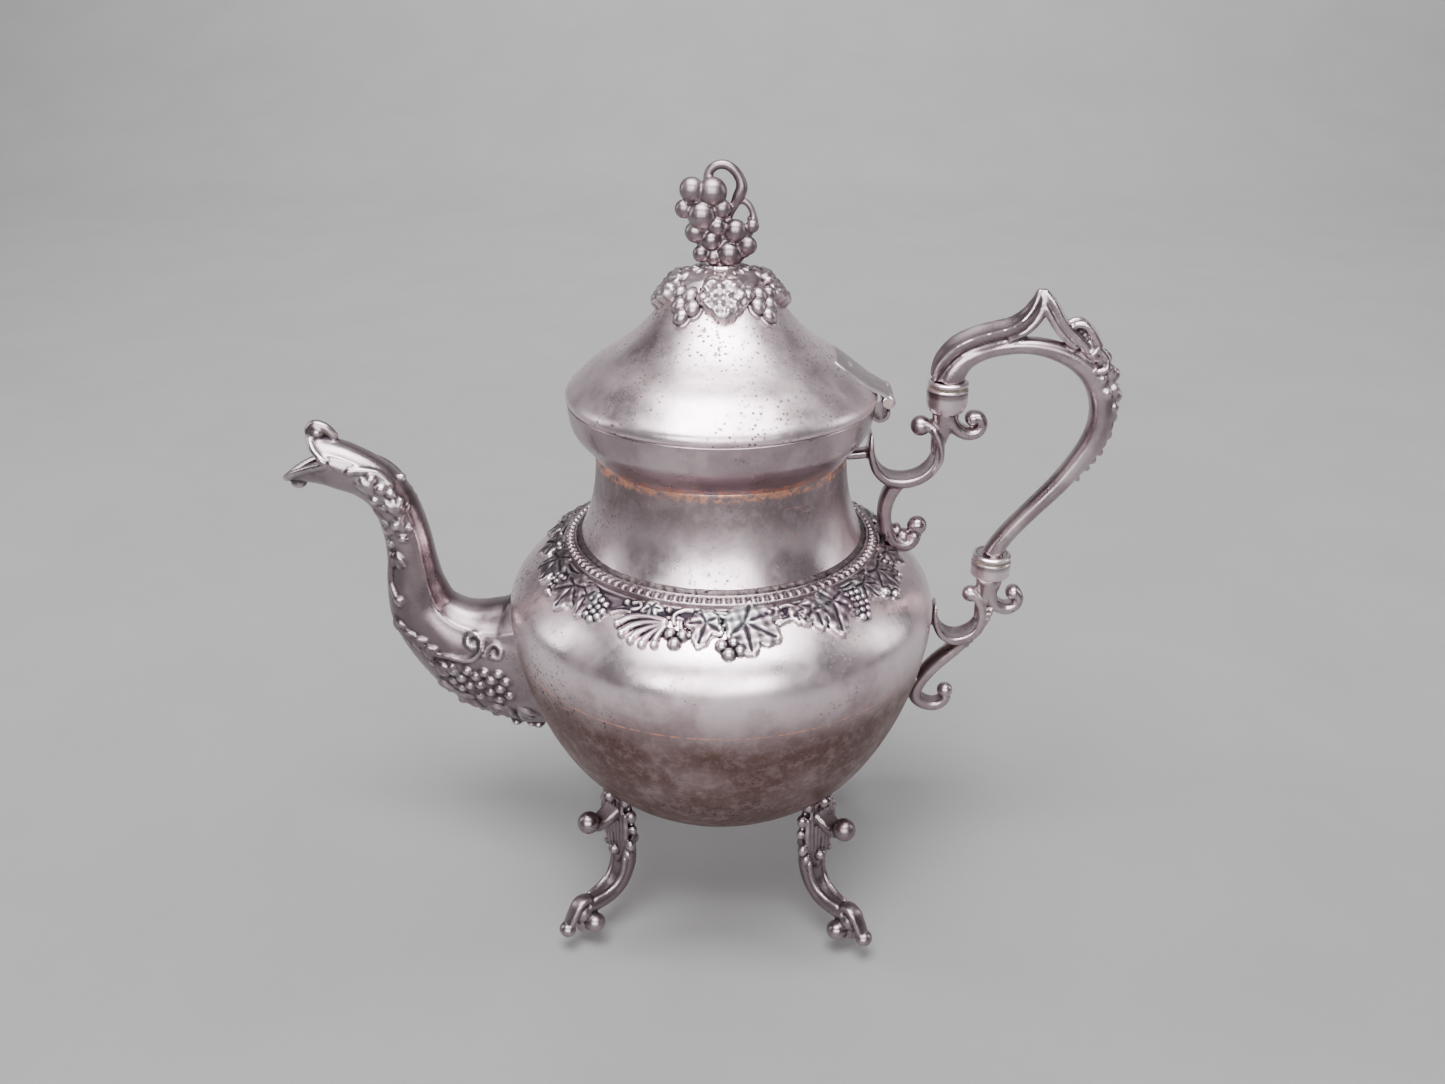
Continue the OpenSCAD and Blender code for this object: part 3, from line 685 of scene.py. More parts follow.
# A base below 1 darkens the rim band and the cast pieces as a whole: partly their tarnish, partly painted dark
# reflection.
BAND = tarnished_silver("rim_silver", 0.28, specks=0.4, worn=[BAND_WEAR], dull=0.8, grime=0, base=0.72)
LID = tarnished_silver("lid_silver", 0.31, specks=0.95, grime=0)
CAST = tarnished_silver("cast_silver", 0.27, specks=0.12, recess=(0.02, 0.22), dull=0.85, base=0.6)
SPOUT = tarnished_silver("spout_silver", 0.28, specks=0.15, recess=(-0.01, 0.16), dull=0.95, base=0.4)
FEET = tarnished_silver("foot_silver", specks=0.2, recess=(-0.02, 0.16), dull=0.9, grime=0.95, base=0.42)
RELIEF = tarnished_silver("relief_silver", specks=0.1, recess=(-0.12, 0.10), dull=0.9, rainbow=0.25,
                          grime=0.97, base=0.36, rubbed=0.7)
BEADING = tarnished_silver("bead_silver", specks=0, recess=(-0.05, 0.12), dull=0.9, grime=0.96, base=0.45)
LEAVES = tarnished_silver("rosette_silver", 0.32, specks=0.1, recess=(-0.04, 0.16), dull=0.8, grime=0.95,
                          base=0.6)
SOLDER = tarnished_silver("neck_solder", 0.5, specks=0.9, dull=1, grime=0, base=0.2)
GRAPE = tarnished_silver("grape_silver", 0.33, specks=0.6, recess=(0.05, 0.3), dull=1.0, grime=0.8,
                         base=0.45, sunk_colour=(0.36, 0.34, 0.37), rubbed=0.25)
BRASS = plain_metal("drawn_brass", (0.72, 0.6, 0.5), (0.5, 0.38, 0.3))
FIBRE = fibre("fibre_washer")


# ---------- profiles of the spun shells, as (radius, height) ----------

WALL = 1.2
RIM_WALL = 1.4
SEAM_Z = 104
BELLY_R, BELLY_Z, BOWL_DEPTH = 75.8, 114, 78
BOWL_ROUND, BOWL_FLAT = 3.31, 1.57
SHOULDER_R, SHOULDER_RISE = 50, 27
NECK_R, NECK_RISE = 43, 31
QUARTER = math.pi / 2


def bowl_radius(z):
    t = np.clip((BELLY_Z - np.asarray(z, float)) / BOWL_DEPTH, 0, 1)
    return BELLY_R * (1 - t**BOWL_FLAT)**(1 / BOWL_ROUND)


def bowl_profile(a):
    """Bowl below the belly, from the belly (a = 0) to the bottom."""
    r = BELLY_R * np.cos(a)**(2 / BOWL_ROUND)
    return np.stack([r, BELLY_Z - BOWL_DEPTH * np.sin(a)**(2 / BOWL_FLAT)], axis=1)


def shoulder_profile(a):
    """Shoulder from the belly (a = 0) to the foot of the neck."""
    r = SHOULDER_R + (BELLY_R - SHOULDER_R) * np.cos(a)**(2 / 0.9)
    return np.stack([r, BELLY_Z + SHOULDER_RISE * np.sin(a)**(2 / 2.33)], axis=1)


def neck_profile(t):
    """Neck from the shoulder (t = 0) to the rim band."""
    r = NECK_R + (SHOULDER_R - NECK_R) * (1 - t)**2.2
    return np.stack([r, BELLY_Z + SHOULDER_RISE + NECK_RISE * t], axis=1)


SEAM = math.asin(((BELLY_Z - SEAM_Z) / BOWL_DEPTH)**(BOWL_FLAT / 2))
LOWER_LINE = bowl_profile(np.linspace(QUARTER, SEAM, 96))
LOWER_LINE[0, 0] = 0
UPPER_LINE = np.vstack([
    bowl_profile(np.linspace(SEAM, 0, 14))[:-1],
    shoulder_profile(np.linspace(0, QUARTER, 60))[:-1],
    neck_profile(np.linspace(0, 1, 40)),
])
RIM_LINE = curve([(43, 172), (44.5, 174.5), (48, 178.5), (50.3, 182), (51.2, 186), (51.7, 190.4)], 12)
LID_LINE = curve([
    (51.5, 190.9), (52, 192), (51.3, 194.2), (48.5, 197), (43, 202), (37, 206), (31, 210.2), (25.5, 215),
    (21, 220), (17, 225), (13.5, 229), (9, 231.5), (1.6, 232)], 9)


def wall_outline(line, thickness):
    """Closed outline of a wall inside an outer profile that runs upwards, with its two edges rounded."""
    inner = beside(line, thickness)
    inner[:, 0] = np.maximum(inner[:, 0], line[:, 0].min() * (line[:, 0] < 2))
    top = rounded_edge(line[-1], inner[-1], directions(line)[-1])
    low = rounded_edge(inner[0], line[0], -directions(line)[0])
    return np.vstack([line[:-1], top, inner[-2:0:-1], low])


def rounded_edge(a, b, outwards):
    """Half-round edge from point a to point b."""
    t = np.linspace(0, math.pi, 7)[:, None]
    middle, half = (a + b) / 2, (a - b) / 2
    return middle + half * np.cos(t) + outwards * np.linalg.norm(half) * 0.6 * np.sin(t)


def in_skin(co):
    """Points inside the pot's outer skin are moved out to just under it, so castings end in the wall."""
    below, lowest, highest = 0.7, 37, 172
    line = np.vstack([LOWER_LINE, UPPER_LINE])
    radius = np.interp(co[:, 2], line[:, 1], line[:, 0]) - below
    r = np.hypot(co[:, 0], co[:, 1])
    inside = (r < radius) & (co[:, 2] > lowest) & (co[:, 2] < highest)
    push = np.where(inside, radius / np.maximum(r, 1e-6), 1)
    return co * np.stack([push, push, np.ones(len(co))], axis=1)


# ---------- body ----------

def strainer_holes():
    """Drills for the holes behind the spout, in rows that are staggered."""
    hole_r, apart, row_step, first_z = 1.75, 6.9, 6, 74
    circle = hole_r * outline(24)
    drills = []
    for row in range(5):
        for column in (-1, 0, 1):
            y = column * apart + (0 if row % 2 == 0 else apart / 2) - apart / 4
            z = first_z + row * row_step
            ends = [np.stack([0 * circle[:, 0] + x, y + circle[:, 1], z + circle[:, 0]], axis=1)
                    for x in (-81, -50)]
            drills.append(loft(ends))
    return joined(drills)


def add_shells():
    """The spun pieces: both halves of the body, the rim band and the lid's dome."""
    bowl = np.vstack([LOWER_LINE, beside(LOWER_LINE, WALL)[::-1]])
    bowl[-1] = (0, BELLY_Z - BOWL_DEPTH + WALL)
    lower = make("bowl_lower", turned(bowl, 256, 0.10, 3), LOWER, nodes=["lower_bowl"])
    cut(lower, strainer_holes())
    finish_mesh(lower.data, LOWER, 8, 50)
    for name, line, wall, wobble, seed_number, material, body, node in (
        ("bowl_upper", UPPER_LINE, WALL, 0.12, 3, UPPER, "pot", "upper_body"),
        ("rim_band_spun", RIM_LINE, RIM_WALL, 0.08, 5, BAND, "pot", "rim_band"),
        ("lid_dome", LID_LINE, WALL, 0.14, 7, LID, "lid", "lid_shell"),
    ):
        solid = turned(wall_outline(line, wall), 256, wobble, seed_number)
        make(name, solid, material, body, nodes=[node])


# ---------- shoulder border ----------

def border_motifs(field, start):
    """Half of the border, from azimuth start onwards: vine leaves, bunches of grapes, tendrils, berries."""
    def put(azimuth, s, shape, reach, *details):
        field.add(start + 180 + azimuth, s, shape, reach, *details)

    def trail(points, shape, *details):
        azimuth, s = points[0]
        scale = math.radians(1) * field.spot(s)
        path = curve([((a - azimuth) * scale, b - s) for a, b in points], 5)
        put(azimuth, s, shape, np.abs(path).max() + 4, path, *details)

    for azimuth, s, angle, size, lobes in (
        (-173, 9, 0, 8.5, VINE_LEAF), (-160, 8.5, 27, 11, VINE_LEAF), (-141, 10.5, 0, 10.5, VINE_LEAF),
        (-133.5, 11, 12, 8.6, BROAD_LEAF), (-110, 7.4, 20, 5.6, BROAD_LEAF),
        (-92, 10.5, -14, 9.4, BROAD_LEAF), (-80.5, 10.8, 56, 13, VINE_LEAF), (-64, 10, 30, 6, SLIM_LEAF),
        (-57.5, 9.4, -6, 8.4, VINE_LEAF), (-50.5, 9.5, -18, 12.8, BROAD_LEAF), (-35, 9, 10, 8, VINE_LEAF),
        (-24, 8.6, 0, 10.5, VINE_LEAF), (-9, 8.8, 0, 8.6, VINE_LEAF),
    ):
        put(azimuth, s, leaf, size * 1.15, angle, size, 1.75, lobes)
    for azimuth, s, angle, rows in (
        (-127, 9.2, -20, (3, 4, 4, 3)), (-42, 8.6, -8, (3, 4, 4, 3, 2)), (-150, 10, 8, (3, 3, 2, 1)),
        (-17.5, 8.4, 4, (2, 3, 2, 1)),
    ):
        put(azimuth, s, bunch, 16, angle, rows)
    for azimuth, s, r in (
        (-101.9, 15.4, 1.75), (-98.4, 15.4, 1.75), (-100.2, 18.2, 1.85), (-87.4, 18.2, 1.8),
        (-84.2, 17.2, 1.8), (-85.6, 20.8, 1.9), (-82.6, 19.8, 1.7), (-29.4, 15.8, 1.7), (-26.6, 18.6, 1.7),
        (-20.7, 16, 1.7), (-170, 7.5, 1.3), (-166, 7.2, 1.3), (-72.5, 8.2, 1.1), (-70, 7.6, 1.1),
        (-104, 7.6, 1.1), (-118.6, 8, 1.1),
    ):
        put(azimuth, s, berry, 3, r, 2.2)
        put(azimuth, s, berry, 3, 1.4 * r, 0.9)
    for points in (
        [(-104.5, 11.6), (-110, 11.2), (-115.4, 12.6), (-119, 15.6)],
        [(-104.5, 12.4), (-109.8, 13.2), (-114, 15.2), (-116.6, 18.2)],
        [(-104.6, 13), (-108.4, 14.8), (-111.6, 17), (-113, 19.6)],
        [(-104.4, 13.4), (-106.8, 16), (-108.6, 18.2), (-109.2, 20.2)],
        [(-104, 13.6), (-105, 16), (-105.6, 18), (-105.6, 19.6)],
    ):
        trail(points, finger, 1.25)
    for points in (
        [(-99.5, 11.2), (-98.6, 14), (-96, 15.4), (-93.4, 14), (-92.6, 11.4), (-94.4, 9.6), (-96, 10.8)],
        [(-101.5, 11.8), (-102, 9), (-99.6, 6.8), (-97, 6.6)],
        [(-91, 15), (-88.4, 13.2), (-86.6, 11.2), (-86.2, 9.2), (-88.2, 8.2)],
        [(-95.4, 8), (-92, 7.4), (-88.5, 7.2), (-84.4, 7.6), (-80, 7)],
        [(-76, 7.6), (-73.5, 9.4), (-71, 10), (-68.6, 9)],
        [(-68.4, 6.9), (-65.6, 6.6), (-63.3, 8.2), (-64.4, 10.4)],
        [(-70.4, 12.6), (-67, 11.6), (-63.5, 12), (-60.4, 13.4)],
        [(-57.4, 7.4), (-54.4, 6.9), (-52.8, 9), (-51.2, 12)],
        [(-122, 13), (-119.5, 11.4), (-116.4, 11)],
        [(-116, 9.8), (-113.6, 8.4), (-114.6, 6.8), (-116.6, 7.4)],
        [(-46, 6.9), (-42, 7.8), (-38, 7.4), (-34, 7.2), (-29, 7.9), (-24, 7)],
        [(-135, 7), (-139, 8.2), (-144, 7.4), (-149, 8.4), (-154, 7.2)],
        [(-18, 7.6), (-12, 8.4), (-6, 7.4), (0, 8.2)],
    ):
        trail(points, along_path, 0.8, 1.45)


def border_plate(field):
    """Ground of the border: a groove outside the beads, a low rim, waves, and a thick wavy outer edge."""
    s = field.s[:, None]
    a = np.radians(field.azimuth)[None, :]
    edge = 12.2 + 1.2 * np.sin(8 * a + 1) + 0.9 * np.sin(22 * a) + 0.6 * np.sin(38 * a + 2)
    ground = 0.5 + 0.55 * np.exp(-((s - 6.1) / 0.6)**2) - 0.35 * np.exp(-((s - 5.0) / 0.4)**2)
    waves = 0.2 * np.sin(14 * a + 0.5 * s) * np.sin(0.95 * s + 2.5 * np.sin(9 * a))
    lip = 0.35 * np.exp(-((s - edge + 1) / 0.6)**2)
    ground = ground + (waves + lip) * smoothstep(6.8, 8, s)
    field.h = np.maximum(field.h, np.where((s < edge) & (s > 1.2), ground, field.bare))


BEADS = 108
SOLDER_OUTLINE = [(49.2, 142.6), (49.9, 142.5), (50.6, 141.9), (50.9, 141), (50.9, 139.4), (49.2, 139.4)]
INNER_RIDGE = [(50.8, 139.2), (50.8, 141.2), (51.2, 141.6), (51.7, 141.4), (52, 140.6), (52, 139.2)]
OUTER_RIDGE = [(54.2, 138.4), (54.3, 140.1), (54.7, 140.5), (55.1, 140.1), (55.2, 138.4)]


def add_border():
    """Cast leaves, the rough line of solder at the neck, and the beads between two ridges."""
    border_width = 26
    field = Relief(shoulder_profile(np.linspace(QUARTER, 0.25, 400)), 1000, 0.4)
    border_plate(field)
    for start in (-180, 0):
        border_motifs(field, start)
    field.h[field.s > border_width] = field.bare
    make("border_leaves", field.solid(), RELIEF, nodes=["shoulder_border"], rounds=6)
    ring, faces = turned(SOLDER_OUTLINE, 420)
    lumps = 1 + 0.006 * np.random.default_rng(17).standard_normal(len(ring))
    ring = ring * np.stack([lumps, lumps, 1 + 0 * lumps], axis=1)
    make("border_solder", (ring, faces), SOLDER, rounds=2)
    parts = [turned(ridge, 240) for ridge in (INNER_RIDGE, OUTER_RIDGE)]
    bead, faces = ball(53.15, 0, 140.1, 1.3, (1.12, 0.93, 1), 14)
    parts += [(turn_z(bead, TAU * k / BEADS), faces) for k in range(BEADS)]
    make("border_beads", joined(parts), BEADING, voxel=0.3, rounds=5)


# ---------- spout ----------

# Middle line from the bowl to the mouth, as (x, z, half height, half width)
SPOUT_PATH = [
    (-73.5, 86.5, 28, 16.5), (-84, 87.5, 24.5, 16), (-95, 91.5, 20.5, 14.5), (-104, 98, 15.8, 12.5),
    (-109.8, 106, 13, 11), (-112, 116, 10.8, 9.5), (-112.4, 126, 9, 8.4), (-113, 136, 8.3, 7.8),
    (-115, 146, 8, 7.6), (-119, 154, 8, 7.8), (-125.5, 159.5, 8.2, 8), (-132.5, 162.6, 8.8, 8.3)]
# Rim of the mouth, from the middle of its upper edge round one side to its tip, as (turn in degrees, x, y, z)
MOUTH_RIM = [
    (0, -142.6, 0, 175.2), (22, -142, 3, 173.6), (45, -140, 6, 170.8), (68, -137, 8, 168.3),
    (88, -136, 8.4, 166), (112, -142, 7.4, 164), (140, -148.5, 5, 161.2), (162, -152.6, 2.4, 158.4),
    (180, -154.2, 0, 157)]
SPOUT_SIDES = 120
# Relief on one side of the spout: berries (x, z, radius), tendrils (radius, points) and leaves (x, z, angle in
# degrees, length)
SPOUT_BERRIES = [
    (-121, 160.4, 2.1), (-118, 156.8, 2.2), (-115, 155, 2), (-120.6, 152.6, 1.9), (-112.6, 158.8, 1.8),
    (-117.6, 150.4, 1.7), (-124.4, 163.2, 1.5), (-114.6, 150.4, 1.4), (-117.6, 141, 2), (-114.2, 143.2, 2.2),
    (-112.4, 138.2, 1.8), (-117, 135.8, 1.7), (-110, 142, 1.6), (-116.2, 114, 2.3), (-118, 116.4, 1.7),
    (-101.4, 86.4, 2), (-97.8, 87.6, 2), (-95, 85, 2.1), (-92.4, 88.4, 2.1), (-89.2, 86.6, 2.2),
    (-86, 88.4, 2.1), (-83.6, 85.4, 2.2), (-80.8, 88.2, 2), (-78.2, 85, 2.1), (-88, 82.8, 2),
    (-92, 82, 1.9), (-80.6, 81.6, 2.1), (-77.4, 78.8, 2.1), (-84.4, 79.8, 2), (-98.4, 83.2, 1.9),
    (-95.4, 80.2, 1.8), (-88.6, 77.6, 1.9), (-81.4, 76.4, 2)]
SPOUT_VINES = [
    (1.3, [(-128, 163.4), (-124, 163.6), (-119, 162), (-115, 158)]),
    (1.1, [(-121.6, 148), (-119, 145), (-116, 141)]), (1.0, [(-110, 150), (-112.6, 146), (-112.2, 142)]),
    (1.5, [(-117.4, 131), (-118.6, 126), (-119.2, 121), (-118.2, 117), (-116.2, 113)]),
    (1.1, [(-110.6, 98.4), (-106, 95.8), (-103, 94), (-98.6, 93.6), (-94, 92.8), (-90, 93.6), (-87, 96.8)]),
    (1.1, [(-87, 96.8), (-86.6, 100.4), (-88.6, 102.6), (-91.2, 101.8), (-91.8, 99.2), (-90, 97.8)]),
    (1.1, [(-85.6, 95.4), (-84, 98.4), (-81.4, 99.6), (-79.2, 97.6), (-80.2, 94.8), (-82.6, 95)]),
    (1.2, [(-106, 90), (-102, 88.6), (-98, 89.8)])]
SPOUT_LEAVES = [
    (-119.2, 106.4, -62, 5), (-116.6, 102.2, -40, 5), (-112.8, 100, -34, 5.4), (-109, 96.6, -30, 5),
    (-103.6, 90.6, -52, 5), (-104.6, 82.6, -66, 6), (-98.6, 77.6, -38, 6.4), (-93.4, 75.6, -84, 6.5),
    (-86.2, 73.6, -44, 6.6), (-79.6, 72.8, -96, 6.8), (-74.6, 72.6, -60, 6.4), (-121.4, 156, 118, 5),
    (-113.6, 147.6, 96, 5), (-115.4, 132.6, -84, 5)]


def mouth_curve(turn):
    """Rim points for turns in radians, on both sides of the spout."""
    rim = curve(MOUTH_RIM, 12)
    degrees = np.degrees(turn) % 360
    near = np.where(degrees > 180, 360 - degrees, degrees)
    x, y, z = (np.interp(near, rim[:, 0], rim[:, k]) for k in (1, 2, 3))
    return np.stack([x, np.where(degrees > 180, -y, y), z], axis=1)


def wall_x(ring):
    """Where a ring's points meet the bowl, 0.6 mm inside its skin."""
    r = bowl_radius(np.minimum(ring[:, 2], BELLY_Z))
    return 0.6 - np.sqrt(np.maximum(r**2 - ring[:, 1]**2, 0))


def spout_surface():
    """Rings of the spout's outer surface from the bowl to the lip."""
    turn = TAU * np.arange(SPOUT_SIDES) / SPOUT_SIDES
    off_top = np.abs((np.degrees(turn) + 180) % 360 - 180)
    # a raised line with a hollow above it on either side
    crease = 1 + 0.045 * np.exp(-((off_top - 52) / 5)**2) - 0.03 * np.exp(-((off_top - 38) / 8)**2)
    path = curve(SPOUT_PATH, 16)
    d = directions(path[:, :2])
    rings = []
    for (x, z, high, wide), (dx, dz) in zip(path, d):
        up, side = high * np.cos(turn), wide * np.sin(turn) * crease
        rings.append(np.stack([x + dz * up * crease, side, z - dx * up * crease], axis=1))
    rings = np.array(rings)
    rings[0, :, 0] = wall_x(rings[0])
    # the rings after the first leave the wall smoothly
    for k in range(1, 10):
        rings[k, :, 0] = np.minimum(rings[k, :, 0], wall_x(rings[k]) - 0.12 * k)
    start, end = rings[-1], mouth_curve(turn)
    reach = np.linalg.norm(end - start, axis=1, keepdims=True)
    out = np.array([d[-1, 0], 0, d[-1, 1]]) * reach
    leave = unit(end - start) * reach
    for t in np.linspace(0, 1, 20)[1:]:
        h = (2 * t**3 - 3 * t**2 + 1) * start + (t**3 - 2 * t**2 + t) * out
        h = h + (3 * t**2 - 2 * t**3) * end + (t**3 - t**2) * leave
        rings = np.concatenate([rings, h[None]])
    return rings


def surface_normals(rings):
    """Outward normals of a surface that is stored ring by ring."""
    along = np.gradient(rings, axis=0)
    around = np.roll(rings, -1, axis=1) - np.roll(rings, 1, axis=1)
    n = unit(np.cross(around, along))
    centre = rings.mean(axis=1, keepdims=True)
    return n * np.where(((rings - centre) * n).sum(axis=(1, 2)) < 0, -1, 1)[:, None, None]


def add_spout():
    wall, lip_r = 1.3, 1.3
    outer = spout_surface()
    inner = outer - wall * surface_normals(outer)
    shell = np.concatenate([outer, inner[::-1]])
    faces = grid_quads(len(shell), SPOUT_SIDES, wrap_rows=True, wrap_cols=True).tolist()
    parts = [(shell.reshape(-1, 3), faces), rolled_edge((outer[-1] + inner[-1]) / 2, lip_r)]
    parts += spout_castings(outer)
    make("spout_cast", joined(parts), SPOUT, nodes=["spout"], voxel=0.56, relax=2, rounds=6, keep_out=in_skin)


def rolled_edge(loop, r, sides=12):
    """Round bead along a closed loop of points."""
    d = unit(np.roll(loop, -1, axis=0) - np.roll(loop, 1, axis=0))
    side = unit(np.cross(d, [0.4, 0.0, 1.0]))
    up = np.cross(d, side)
    a = (TAU * np.arange(sides) / sides)[None, :, None]
    rings = loop[:, None] + r * (np.cos(a) * side[:, None] + np.sin(a) * up[:, None])
    return rings.reshape(-1, 3), grid_quads(len(loop), sides, wrap_rows=True, wrap_cols=True).tolist()


def spout_castings(outer):
    """Relief on both sides of the spout: berries, tendrils, the scrolls, and the grapes and leaves below."""
    skin = outer[:, SPOUT_SIDES // 2:].reshape(-1, 3)

    def y_at(x, z):
        near = np.argsort((skin[:, 0] - x)**2 + (skin[:, 2] - z)**2)[:3]
        return np.abs(skin[near, 1]).mean()

    def stem_on(side, points, sunk, n):
        return stem([(x, side * (y_at(x, z) - sunk), z, r) for x, z, r in points], n, 10)

    parts = []
    for side in (-1, 1):
        for x, z, r in SPOUT_BERRIES:
            parts.append(ball(x, side * (y_at(x, z) - 0.2 * r), z, r, (1, 0.8, 0.9), 14))
        for r, line in SPOUT_VINES:
            parts.append(stem_on(side, [(x, z, r) for x, z in line], 0.25 * r, 6))
        for x, z, angle, long in SPOUT_LEAVES:
            # three ribs that spread from (x, z) and swell towards their ends
            for spread in (-26, 0, 26):
                a = math.radians(angle + spread)
                rib = [(x + share * long * math.cos(a), z + share * long * math.sin(a), r)
                       for share, r in ((0, 0.8), (0.5, 1.5), (1, 1.1))]
                parts.append(stem_on(side, rib, 0.2, 4))
    rng = np.random.default_rng(23)
    for k in range(14):
        # lumpy leaves across the underside
        x, z = -103 + 2.5 * k, 71.2 - 1.15 * k
        y, r = 5 * math.sin(2.4 * k), 1.9 + rng.random()
        parts.append(ball(x, y, z + 1.6, r, (1.1, 1.8, 0.8), 14))
    # scroll on top of the mouth, its eye, and the drop under the lip
    parts.append(stem([
        (-134.4, 0, 173.8, 1.6), (-137, 0, 176.6, 1.9), (-140.4, 0, 177.6, 2), (-142.7, 0, 175.4, 1.9),
        (-141.8, 0, 172.6, 1.6)], 6))
    parts.append(ball(-139.7, 0, 175.2, 2.6, (1, 1.25, 1)))
    parts.append(ball(-149.6, 0, 155.9, 2.3, (1.25, 1, 0.8)))
    return parts


# ---------- handle, sockets and brackets ----------

def trough(stations, n=8, t=1.1):
    """Leaf-like channel open to the top with thick round rims, through stations (x, z, depth, half width)."""
    path = curve(stations, n)
    d = directions(path[:, :2])
    k = np.linspace(-1, 1, 21)
    rings = []
    for (x, z, deep, wide), (dx, dz) in zip(path, d):
        floor = deep * np.abs(k)**1.8
        high, low = floor + 0.45 * t * (1 - k**8), floor - 0.55 * t * (1 - k**8) - 0.05
        side, up = np.concatenate([wide * k, wide * k[::-1]]), np.concatenate([low, high[::-1]])
        rings.append(np.stack([x - dz * up, side, z + dx * up], axis=1))
    return loft(rings)


# Buds on the handle's outer edge: x, y (mirrored unless 0), z, radius, squash
HANDLE_BUDS = [
    (116.8, 0, 214.2, 1.9, (1, 1.3, 0.8)), (121.4, 0, 210.4, 1.7, (1, 1.3, 1)),
    (125.2, 1.7, 205, 1.9, (1, 1, 1.3)), (127, 2.4, 200.6, 2, (1, 0.9, 1.3)),
    (129.2, 0, 199.2, 1.8, (1, 1.2, 1.3)), (124.2, 4, 198.6, 1.6, (1, 0.7, 1.2)),
    (129, 2.4, 195, 1.9, (1, 0.9, 1.2)), (126.4, 4, 193.8, 1.6, (1, 0.7, 1.2)),
    (130.8, 0, 192, 1.9, (1, 1.2, 1.3)), (129.8, 2.4, 188.6, 1.8, (1, 0.9, 1.3)),
    (131, 0, 184.6, 1.4, (0.9, 1.2, 1.4)), (129.8, 2, 182, 1.3, (0.8, 1, 1.5)),
    (130.4, 0, 178.4, 1.2, (0.9, 1.1, 1.5)), (128.6, 1.8, 175.8, 1.1, (0.8, 1, 1.4)),
    (128.4, 0, 172, 1.1, (1, 1, 1.4)), (126.2, 1.4, 169.4, 1, (1, 1, 1.3)), (125, 0, 166, 0.9, (1, 1, 1.3)),
    (122.2, 0, 162, 0.9, (1, 1, 1.2))]


# The doubled stem behind the thumb rest, on one side, as (steps, sides, points)
HANDLE_STEMS = [
    (8, 14, [
        (103.6, 0.9, 226, 1.1), (106.4, 1.5, 222.4, 1.5), (109.2, 1.9, 217.8, 1.6), (112.8, 2, 213.6, 1.7),
        (117, 2.1, 210, 1.8), (121, 2.2, 205.6, 1.8)]),
    (8, 12, [(104, 2, 221, 1.1), (106.4, 2.4, 217.4, 1.1), (110, 2.6, 212.8, 1.2), (114.4, 2.8, 209.2, 1.2)]),
    (7, 12, [
        (112.6, 1.4, 213.6, 1.3), (113.8, 2.2, 216, 1.3), (116.8, 2.6, 216, 1.4), (119.6, 2.8, 213.4, 1.5),
        (121.8, 3, 209.4, 1.5), (120, 3.6, 206.6, 1.2)]),
    (6, 12, [(121.6, 3.4, 209, 1.2), (124.8, 3.4, 205.6, 1.2), (125, 4, 202, 1.2), (122.6, 4.4, 201.4, 1)])]


def add_handle():
    """The curved grip, the thumb rest on it, and the vine stem with its buds."""
    parts = [strap([
        (75.3, 195.8, 4.6, 4.8), (76.8, 199.6, 4.3, 4.6), (80, 203.7, 3.6, 4.3), (85.5, 206.6, 3, 4),
        (92.3, 208.2, 2.8, 3.9), (100.3, 208.7, 2.8, 3.9), (108.5, 207.2, 3.1, 4), (116.5, 203.6, 3.5, 4.2),
        (122.5, 198.2, 3.9, 4.4), (125.8, 191.5, 4, 4.4), (126.8, 184, 4, 4.4), (125.3, 176.5, 3.9, 4.3),
        (121.5, 169, 3.6, 4.1), (115.5, 160, 3.3, 3.9), (108.5, 151.5, 3.1, 3.8), (102, 143.5, 3.1, 3.8),
        (98, 137.5, 3.2, 3.9), (96, 133, 3.6, 4)], squareness=0.9, sides=40)]
    # thumb rest: a broad hollow leaf with thick rims, and the solid back of its tip
    parts.append(trough([
        (71.6, 196.6, 1.8, 3.4), (73, 201.6, 2.6, 5.2), (77.2, 206.6, 3.1, 6.4), (83.3, 209.8, 3.3, 6.8),
        (89.6, 211.6, 3.4, 6.8), (95.4, 213.6, 3.2, 6.2), (99.6, 217.6, 2.6, 4.8), (101.8, 222.4, 1.8, 3.2),
        (102.4, 227, 0.7, 1.2)], t=2.6))
    parts.append(strap([
        (93, 211.4, 1.6, 4.2), (98.4, 214, 1.7, 3.8), (102, 218.2, 1.9, 3.2), (103.4, 222.6, 1.9, 2.6),
        (103.2, 226.8, 1.2, 1.7)], squareness=0.9))
    parts.append(strap([
        (79, 204.6, 2.4, 3.6), (85, 208, 2.2, 3.8), (91, 209.8, 1.8, 3.6), (96, 210.6, 1.2, 3)]))
    for side in (-1, 1):
        for n, sides, line in HANDLE_STEMS:
            parts.append(stem([(x, side * y, z, r) for x, y, z, r in line], n, sides))
    parts.append(strap([
        (118, 210.4, 1.8, 3.2), (122.4, 206.4, 2, 3.6), (126.2, 200.6, 2, 3.6), (128.8, 193, 1.7, 3.2),
        (129.8, 185, 1.4, 2.8), (128.8, 177, 1.1, 2.3), (125.8, 170, 0.9, 1.6), (122, 163.6, 0.7, 0.8)]))
    # leaves and berries down the outer edge
    for x, y, z, r, squash in HANDLE_BUDS:
        for side in (-1, 1) if y else (1,):
            parts.append(ball(x, side * y, z, r, squash, 16))
    make("handle_cast", joined(parts), CAST, nodes=["handle"], voxel=0.42, relax=2, rounds=8)


